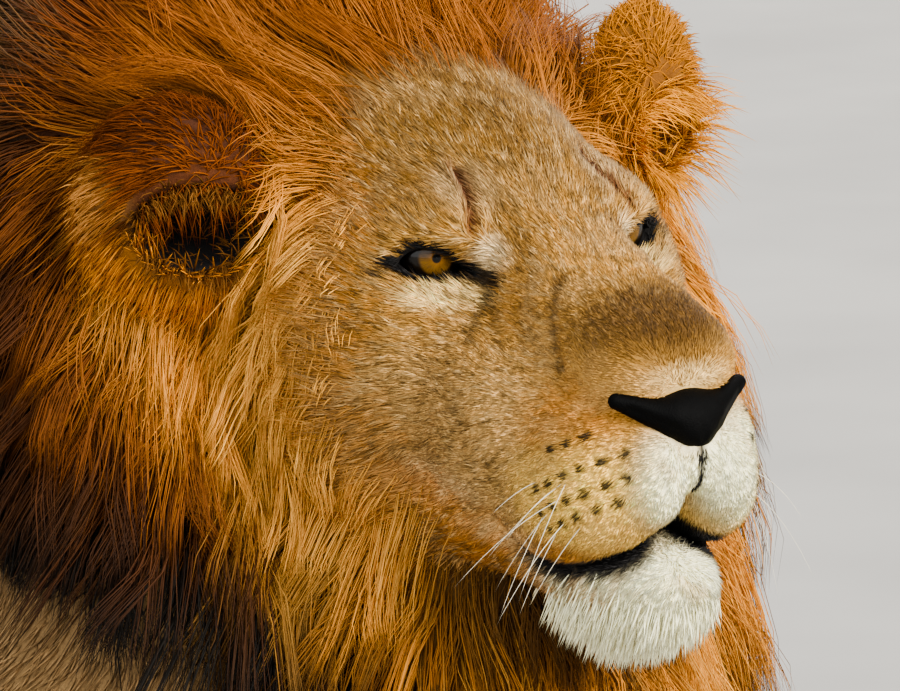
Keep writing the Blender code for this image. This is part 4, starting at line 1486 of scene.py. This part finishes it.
def make_ear_hair(amount, length):
    """Thick soft hair over the backs and rims of both ears, with hairs in the cups: long and pale in
    the left one, painted dark with shade in the right one.
    """
    shapes, roots, colours = [], [], []
    for side in (-1, 1):
        rng = np.random.default_rng(SEEDS["ears"] + side)
        place, normal = skin().scatter(amount // 2, ear_hair_weight(side), rng)
        disc, cup = EARS[side]
        within = cup.distance(place) < 0.002
        from_middle = unit(place - disc.centre)
        way = from_middle * 0.9 + np.array((side * 0.3, 0.35, -0.25)) + fan(rng, len(place), 0.13)
        front = np.array((side * 0.35, -0.7, 0.5))
        way = np.where(within[:, None], front + fan(rng, len(place), 0.25), way)
        lip = (cup.distance(place) < 0.007) & (place[:, 2] > cup.centre[2] + 0.008) & ~within
        over = np.array((-side * 0.25, -0.35, -0.75)) + fan(rng, len(place), 0.28)
        way = np.where(lip[:, None], over, way)
        foot = (cup.distance(place) < 0.007) & (place[:, 2] < cup.centre[2] - 0.004) & ~within
        across_cup = np.array((side * 0.15, -0.55, 0.85)) + fan(rng, len(place), 0.25)
        way = np.where(foot[:, None], across_cup, way)
        size = length * rng.uniform(0.6, 1.3, len(place))
        size = size * np.where(within, 0.8 if side < 0 else 1.3, 0.85)
        lift = np.radians(rng.uniform(6, 22, len(place)) + 30.0 * foot)
        tilt = unit(way - normal * (way * normal).sum(1)[:, None])
        drop = np.array((0.0, 0.0, -0.35)) * (1.0 - foot)[:, None, None]
        heading = tilt * np.cos(lift)[:, None] + normal * np.sin(lift)[:, None]
        path = arcs(place - normal * 0.001, heading, size, 4, drop)
        width = rng.uniform(0.0007, 0.0012, len(place))
        shapes.append(strands(path, normal, width, EAR_TAPER))
        shade = rng.uniform(0.65, 1.3, len(place))
        base = ear_colours(place) * shade[:, None]
        # Hairs in the right cup painted dark: painted shade in the hollow.
        inner = linear(RIGHT_CUP_HAIR_IN_PAINTED_SHADE if side < 0 else LEFT_CUP_HAIR)
        base = np.where(within[:, None], inner[None] * shade[:, None], base)
        colours.append((base[:, None] * (0.6 + 0.75 * hair_steps(4))).reshape(-1, 3))
        roots.append(place)
    points, faces, local, each = zip(*shapes)
    faces = (faces[0], faces[1] + len(points[0]))
    shape = (np.concatenate(points), np.concatenate(faces), np.concatenate(local), each[0])
    coat_piece("ear_hair", shape, np.concatenate(roots), np.concatenate(colours),
               ("ear_left", "ear_right"), coat_look("ear_hair"))


def beard_weight(p):
    """Where the white chin hair grows."""
    side, forward, up = from_eyes(p).T
    share = step(-0.138, -0.150, up) * step(0.050, 0.08, forward) * (1.0 - step(0.028, 0.044, side))
    return share * head_share(p) * step(-0.004, 0.001, union(p, SKULL) - 0.004)


def make_beard(amount, length):
    """White tufts hanging from the chin."""
    rng = np.random.default_rng(SEEDS["chin"])
    place, normal = skin().scatter(amount, beard_weight, rng)
    size = length * rng.uniform(0.5, 1.2, amount)
    way = unit(normal * 0.30 + np.array((0.0, 0.16, -1.0)) + fan(rng, amount, 0.20))
    path = arcs(place - normal * 0.001, way, size, 5, np.array((0.0, 0.25, -0.35)))
    shape = strands(path, normal, rng.uniform(0.0008, 0.0016, amount), TUFT_TAPER)
    shade = rng.uniform(0.75, 1.12, amount)
    behind = step(0.075, 0.030, EYES_AT[1] - place[:, 1])[:, None]
    base = shaded(linear(WHITE) * (1.0 - behind) + linear(CHIN_BACK) * behind, shade)
    colour = (base[:, None] * (0.72 + 0.36 * hair_steps(5))).reshape(-1, 3)
    coat_piece("beard", shape, place, colour, ("jaw",), coat_look("coat_hair"))


def make_whiskers(length):
    """Long pale whiskers from the rows of dark spots."""
    rng = np.random.default_rng(SEEDS["whiskers"])
    roots = [root for root in whisker_roots() if root[1] < -0.090 and root[0] < 0.124]
    p = np.array([head(side * 0.075, *root) for side in (-1, 1) for root in roots])
    p[:, 1:] += rng.normal(scale=0.0025, size=(len(p), 2))
    for _ in range(14):
        p[:, 0] -= np.sign(p[:, 0]) * np.clip(flesh(p), -0.01, 0.01) * 0.8
    normal = slope(flesh, p)[0]
    outward = np.sign(p[:, 0])[:, None] * (1.0, 0.0, 0.0)
    way = unit(outward * 0.62 + (0.0, 0.22, -0.60) + fan(rng, len(p), 0.22))
    size = length * rng.uniform(0.35, 1.0, len(p))
    path = arcs(p - normal * 0.002, way, size, 9, np.array((0.0, 0.10, -0.40)))
    shape = strands(path, normal, np.full(len(p), WHISKER_WIDTH), np.linspace(1.0, 0.35, 8))
    colour = np.tile(linear(WHISKER), (len(shape[0]), 1))
    coat_piece("whiskers", shape, p, colour, ("head",), coat_look("coat_hair"))


def make_tail_tuft(amount, length):
    """Long dark hair round the tail's end."""
    rng = np.random.default_rng(SEEDS["tail"])

    def weight(p):
        """Weight of the tail's end."""
        return step(0.70, 0.60, p[:, 1]) * step(0.43, 0.45, p[:, 0]) * step(0.14, 0.10, p[:, 2])

    place, normal = skin().scatter(amount, weight, rng)
    size = length * rng.uniform(0.5, 1.1, amount)
    way = unit(normal * 0.22 + np.array((0.0, -1.0, 0.0)) + fan(rng, amount, 0.10))
    path = arcs(place, way, size, 5, np.array((0.0, -0.2, -0.15)))
    path[..., 2] = np.maximum(path[..., 2], 0.003)
    shape = strands(path, normal, rng.uniform(0.0012, 0.0026, amount), TUFT_TAPER)
    shade = rng.uniform(0.6, 1.5, amount)
    colour = np.repeat(linear(TAIL_DARK)[None] * shade[:, None], shape[3], 0)
    coat_piece("tail_tuft_hair", shape, place, colour, ("tail_tuft", "tail"),
               coat_look("mane_hair"))


NOSE = boxed([
    Egg(head(0, 0.138, -0.0645), (0.0190, 0.0155, 0.0125), (14, 0, 0), 0.006),
    Egg(head(0, 0.146, -0.073), (0.0115, 0.0095, 0.0100), blend=0.007),
] + [
    Limb(head(side * 0.012, 0.142, -0.0660), 0.0090,
         head(side * 0.0374, 0.131, -0.0556), 0.0042, 0.006)
    for side in (-1, 1)
])
NOSTRILS = boxed([
    Limb(head(side * 0.0165, 0.1545, -0.0705), 0.0040,
         head(side * 0.0345, 0.1400, -0.0600), 0.0028, 0.002)
    for side in (-1, 1)
])


def nose_distance(p):
    """Signed distance to the nose leather, with its two nostrils and the groove below."""
    d = union(p, NOSE)
    d = carve(d, union(p, NOSTRILS), 0.003)
    groove = np.sqrt(p[:, 0] ** 2 + (p[:, 1] - EYES_AT[1] + 0.1575) ** 2) - 0.0022
    return carve(d, np.maximum(groove, p[:, 2] - EYES_AT[2] + 0.058), 0.002)


def make_nose():
    """Black nose leather as one smooth closed form."""
    spans = ((-0.050, 0.050), (-0.626, -0.574), (0.588, 0.640))
    lines = [ruler(span + (0.0012,)) for span in spans]
    points, quads = surface_net(sample_blocks(nose_distance, *lines), *lines)
    points = settled(nose_distance, points, 2)
    item = mesh_object("nose_leather", points, quads)
    item.data.materials.append(plain_look("nose_leather", NOSE_BLACK))
    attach(item, "root")
    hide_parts("nose")


SIGHT = {-1: (-0.33, -0.94, 0.07), 1: (0.0, -0.99, 0.12)}
PROUD = 0.035
EYE_ROWS, EYE_COLUMNS = 90, 128
OFF_IRIS = 9.0


def eye_look():
    """Amber iris with fine streaks and a small round pupil, under a wet gloss."""
    look, nodes, links, shader = new_material("eye")
    colour = nodes.new("ShaderNodeAttribute")
    colour.attribute_name = "eye_colour"
    links.new(colour.outputs["Color"], shader.inputs["Base Color"])
    shader.inputs["Roughness"].default_value = 0.30
    shader.inputs["Specular IOR Level"].default_value = 0.05
    shader.inputs["Coat Weight"].default_value = 0.22
    shader.inputs["Coat Roughness"].default_value = 0.02
    return look


def ring_faces(rings, columns):
    """Triangles between rings of points, then each ring's indices and those of its next points."""
    grid = np.arange(rings * columns).reshape(rings, columns)
    nexts = np.roll(grid, -1, 1)
    quads = np.stack((grid[:-1], nexts[:-1], nexts[1:], grid[1:]), -1).reshape(-1, 4)
    return np.concatenate((quads[:, [0, 1, 2]], quads[:, [0, 2, 3]])), grid, nexts


def make_eyes(iris_radius, pupil_radius):
    """Each eye: a ball turned round its line of sight, the clear front a little proud of it."""
    look = eye_look()
    for side, name in ((-1, "eye_ball_right"), (1, "eye_ball_left")):
        columns = EYE_COLUMNS
        bow = np.linspace(0.0, 1.0, EYE_ROWS + 1)[1:-1] ** 1.35 * math.pi
        turn = np.arange(columns) / columns * 2.0 * math.pi
        sight = unit(np.array(SIGHT[side]))
        wide = unit(np.cross(sight, (0, 0, 1)))
        tall = np.cross(wide, sight)
        angle, around = np.meshgrid(bow, turn, indexing="ij")
        swell = 1.0 + PROUD * (1.0 - step(0.0, 0.62, angle)) ** 0.8
        radius = (BALL_RADIUS - 0.0002) * swell
        ring = np.cos(around)[..., None] * wide + np.sin(around)[..., None] * tall
        centre = BALLS[side] - ORIGIN
        way = np.cos(angle)[..., None] * sight + np.sin(angle)[..., None] * ring
        points = (centre + radius[..., None] * way).reshape(-1, 3)
        poles = np.stack((centre + sight * BALL_RADIUS * (1.0 + PROUD), centre - sight * BALL_RADIUS))
        sides, grid, nexts = ring_faces(len(bow), columns)
        front = np.stack((np.full(columns, len(points)), nexts[0], grid[0]), 1)
        back = np.stack((np.full(columns, len(points) + 1), grid[-1], nexts[-1]), 1)
        faces = np.concatenate((sides, front, back))
        item = mesh_object(name, np.concatenate((points, poles)), faces)
        away = BALL_RADIUS * np.sin(angle).ravel() + OFF_IRIS * (angle.ravel() > 1.5)
        away = np.concatenate((away, (0.0, OFF_IRIS)))
        spin = np.concatenate((around.ravel(), (0.0, 0.0)))
        # Painted shadow of the upper lid: the upper part of each eye darkened.
        painted_lid_shade = 1.0 - 0.8 * step(-0.003, 0.005, np.sin(spin) * away)
        give_colours(item, eye_colours(away, spin, iris_radius, pupil_radius, painted_lid_shade), "eye_colour")
        item.data.materials.append(look)
        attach(item, "root")
        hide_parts("eye_left" if side > 0 else "eye_right")


def eye_colours(away, spin, iris, pupil, shade):
    """Colour by distance from the line of sight: pupil, amber iris, dark ring, then brown-white; the
    iris darkened by the shade, a painted shadow of the upper lid.
    """
    streak = 0.5 + 0.5 * np.sin(spin * 37.0 + 5.0 * np.sin(spin * 11.0) + away * 900.0)
    colour = np.tile(linear(chosen("iris_colour")), (len(away), 1))
    colour = colour * ((0.75 + 0.45 * streak) * shade)[:, None]
    colour = paint(colour, 0.6 * step(pupil + 0.003, pupil, away), IRIS_RING)
    colour = paint(colour, 1.0 - step(pupil - 0.0003, pupil + 0.0003, away), PUPIL)
    colour = paint(colour, step(iris - 0.0022, iris - 0.0002, away), IRIS_RIM)
    return paint(colour, step(iris + 0.001, iris + 0.003, away), EYE_BROWN)


# Stage, camera and lights.

VIEW_TURN = -32.0
VIEW_RISE = 12.3
VIEW_ROLL = 1.16
VIEW_DISTANCE = 4.0
VIEW_LENS = 306.4
VIEW_SHIFT = (-0.0448, -0.0531)


def make_camera():
    """A long lens turned to the lion's right and a little above it."""
    target = EYES_AT + ORIGIN
    a, e, roll = math.radians(VIEW_TURN), math.radians(VIEW_RISE), math.radians(VIEW_ROLL)
    back = np.array((math.sin(a) * math.cos(e), -math.cos(a) * math.cos(e), math.sin(e)))
    right = np.array((math.cos(a), math.sin(a), 0.0))
    over = np.cross(back, right)
    right, over = (right * math.cos(roll) - over * math.sin(roll),
                   right * math.sin(roll) + over * math.cos(roll))
    place = target + back * VIEW_DISTANCE + right * VIEW_SHIFT[0] + over * VIEW_SHIFT[1]
    data = bpy.data.cameras.new("camera")
    data.lens = VIEW_LENS
    data.sensor_width = 36.0
    data.clip_end = 200.0
    item = bpy.data.objects.new("camera", data)
    rows = np.stack((right, over, back, place), 1).tolist() + [[0.0, 0.0, 0.0, 1.0]]
    item.matrix_world = mathutils.Matrix(rows)
    bpy.context.scene.collection.objects.link(item)
    bpy.context.scene.camera = item


def add_light(name, place, angle, strength, colour):
    """A soft lamp far away in the direction of a place, lighting everything alike."""
    data = bpy.data.lights.new(name, "SUN")
    data.angle = math.radians(angle)
    data.energy = strength
    data.color = colour
    item = bpy.data.objects.new(name, data)
    turn = (-mathutils.Vector(place)).to_track_quat("-Z", "Y").to_matrix().to_4x4()
    item.matrix_world = mathutils.Matrix.Translation(place) @ turn
    bpy.context.scene.collection.objects.link(item)


def make_floor():
    """A wide pale floor: rings of points round the middle, closer together near it."""
    radii = np.array((1.0, 2.0, 4.0, 8.0, 16.0, 40.0, 100.0, 300.0))
    columns = 96
    turn = np.arange(columns) / columns * 2.0 * math.pi
    ring = np.stack((np.cos(turn), np.sin(turn), np.zeros(columns)), 1)
    points = (radii[:, None, None] * ring[None]).reshape(-1, 3)
    sides, grid, nexts = ring_faces(len(radii), columns)
    middle = np.stack((np.full(columns, len(points)), grid[0], nexts[0]), 1)
    faces = np.concatenate((sides[:, ::-1], middle))
    item = mesh_object("floor", np.concatenate((points, [[0.0, 0.0, 0.0]])) - ORIGIN, faces)
    item.data.materials.append(plain_look("floor", FLOOR_GREY))


def make_lights():
    """A soft key from the front, a broad fill from the lion's right, a wide top and a back lamp."""
    add_light("key", (1.6, -3.6, 2.3), 28.0, 11.5, (1.0, 0.965, 0.91))
    add_light("fill", (-4.0, -2.2, 1.6), 70.0, 4.2, (0.94, 0.97, 1.0))
    add_light("top", (0.0, 0.3, 4.4), 110.0, 3.6, (1.0, 0.99, 0.97))
    add_light("back", (2.2, 3.6, 2.6), 50.0, 2.5, (1.0, 0.97, 0.93))


class LION_PG_coat(bpy.types.PropertyGroup):
    """Sizes and colours of the coat that a user may change."""

    face_length: bpy.props.FloatProperty(
        name="Face hair", description="Length of the hair beside the eyes", default=0.0085,
        unit="LENGTH")
    face_count: bpy.props.IntProperty(
        name="Face tufts", description="How many tufts cover the face", default=86000)
    body_length: bpy.props.FloatProperty(
        name="Body hair", description="Length of the short coat on the flanks", default=0.021,
        unit="LENGTH")
    body_count: bpy.props.IntProperty(
        name="Body tufts", description="How many tufts cover trunk and legs", default=38000)
    mane_count: bpy.props.IntProperty(
        name="Mane strands", description="How many strands make the mane", default=34000)
    mane_locks: bpy.props.IntProperty(
        name="Mane locks", description="How many locks the strands draw together into",
        default=1900)
    mane_width: bpy.props.FloatProperty(
        name="Strand width", description="Width of a mane strand near its root", default=0.00092,
        unit="LENGTH")
    ear_length: bpy.props.FloatProperty(
        name="Ear hair", description="Length of the hair on the ears", default=0.026, unit="LENGTH")
    beard_length: bpy.props.FloatProperty(
        name="Chin hair", description="Length of the chin's white tufts", default=0.0145,
        unit="LENGTH")
    whisker_length: bpy.props.FloatProperty(
        name="Whiskers", description="Length of the longest whisker", default=0.070, unit="LENGTH")
    iris_radius: bpy.props.FloatProperty(
        name="Iris", description="Radius of the coloured part of the eye", default=0.0100,
        unit="LENGTH")
    pupil_radius: bpy.props.FloatProperty(
        name="Pupil", description="Radius of the pupil", default=0.0024, unit="LENGTH")
    face_colour: bpy.props.FloatVectorProperty(
        name="Face", description="Ground colour of the face", subtype="COLOR_GAMMA",
        default=shown(TAN), min=0.0, max=1.0)
    mane_colour: bpy.props.FloatVectorProperty(
        name="Mane", description="Ground colour of the mane beside the face", subtype="COLOR_GAMMA",
        default=shown(GOLD), min=0.0, max=1.0)
    body_colour: bpy.props.FloatVectorProperty(
        name="Body", description="Ground colour of trunk and legs", subtype="COLOR_GAMMA",
        default=shown(SHOULDER), min=0.0, max=1.0)
    iris_colour: bpy.props.FloatVectorProperty(
        name="Iris colour", description="Ground colour of the iris", subtype="COLOR_GAMMA",
        default=shown(AMBER), min=0.0, max=1.0)


def coat_settings():
    """The coat's settings."""
    return bpy.context.scene.lion_coat


class LION_OT_skin(bpy.types.Operator):
    """Make the skin"""

    bl_idname = "lion.skin"
    bl_label = "Skin"

    def execute(self, context):
        make_skin()
        return {"FINISHED"}


class LION_OT_nose(bpy.types.Operator):
    """Make the nose leather"""

    bl_idname = "lion.nose"
    bl_label = "Nose"

    def execute(self, context):
        make_nose()
        return {"FINISHED"}


class LION_OT_eyes(bpy.types.Operator):
    """Make both eyes"""

    bl_idname = "lion.eyes"
    bl_label = "Eyes"

    def execute(self, context):
        make_eyes(coat_settings().iris_radius, coat_settings().pupil_radius)
        return {"FINISHED"}


class LION_OT_face_coat(bpy.types.Operator):
    """Grow the short hair of the face"""

    bl_idname = "lion.face_coat"
    bl_label = "Face coat"

    def execute(self, context):
        make_face_coat(coat_settings().face_count, coat_settings().face_length)
        return {"FINISHED"}


class LION_OT_body_coat(bpy.types.Operator):
    """Grow the short hair of trunk, legs and tail"""

    bl_idname = "lion.body_coat"
    bl_label = "Body coat"

    def execute(self, context):
        make_body_coat(coat_settings().body_count, coat_settings().body_length)
        return {"FINISHED"}


class LION_OT_mane(bpy.types.Operator):
    """Grow the mane"""

    bl_idname = "lion.mane"
    bl_label = "Mane"

    def execute(self, context):
        settings = coat_settings()
        make_mane(settings.mane_count, settings.mane_locks, settings.mane_width)
        return {"FINISHED"}


class LION_OT_long_hair(bpy.types.Operator):
    """Grow the ear hair, chin hair, whiskers and the tail's tuft"""

    bl_idname = "lion.long_hair"
    bl_label = "Ears, chin, whiskers and tail tuft"

    def execute(self, context):
        make_ear_hair(EAR_HAIRS, coat_settings().ear_length)
        make_beard(CHIN_HAIRS, coat_settings().beard_length)
        make_whiskers(coat_settings().whisker_length)
        make_tail_tuft(TAIL_HAIRS, TAIL_LENGTH)
        return {"FINISHED"}


class LION_OT_stage(bpy.types.Operator):
    """Make the floor, the lights and the camera"""

    bl_idname = "lion.stage"
    bl_label = "Stage"

    def execute(self, context):
        make_floor()
        make_lights()
        make_camera()
        return {"FINISHED"}


OPERATORS = (LION_OT_skin, LION_OT_nose, LION_OT_eyes, LION_OT_face_coat, LION_OT_body_coat,
             LION_OT_mane, LION_OT_long_hair, LION_OT_stage)


class LION_PT_panel(bpy.types.Panel):
    """Lists the lion's steps in the sidebar"""

    bl_label = "Lying Lion"
    bl_idname = "LION_PT_panel"
    bl_space_type = "VIEW_3D"
    bl_region_type = "UI"
    bl_category = "Lion"

    def draw(self, context):
        for operator in OPERATORS:
            self.layout.operator(operator.bl_idname)
        for name in LION_PG_coat.__annotations__:
            self.layout.prop(context.scene.lion_coat, name)


CLASSES = (LION_PG_coat,) + OPERATORS + (LION_PT_panel,)


def register():
    """Add the classes and the settings."""
    for item in CLASSES:
        bpy.utils.register_class(item)
    bpy.types.Scene.lion_coat = bpy.props.PointerProperty(type=LION_PG_coat)


def unregister():
    """Take the classes and the settings away."""
    del bpy.types.Scene.lion_coat
    for item in reversed(CLASSES):
        bpy.utils.unregister_class(item)


def main():
    """Build everything in order."""
    register()
    for operator in OPERATORS:
        group, name = operator.bl_idname.split(".")
        getattr(getattr(bpy.ops, group), name)()


if __name__ == "__main__":
    main()
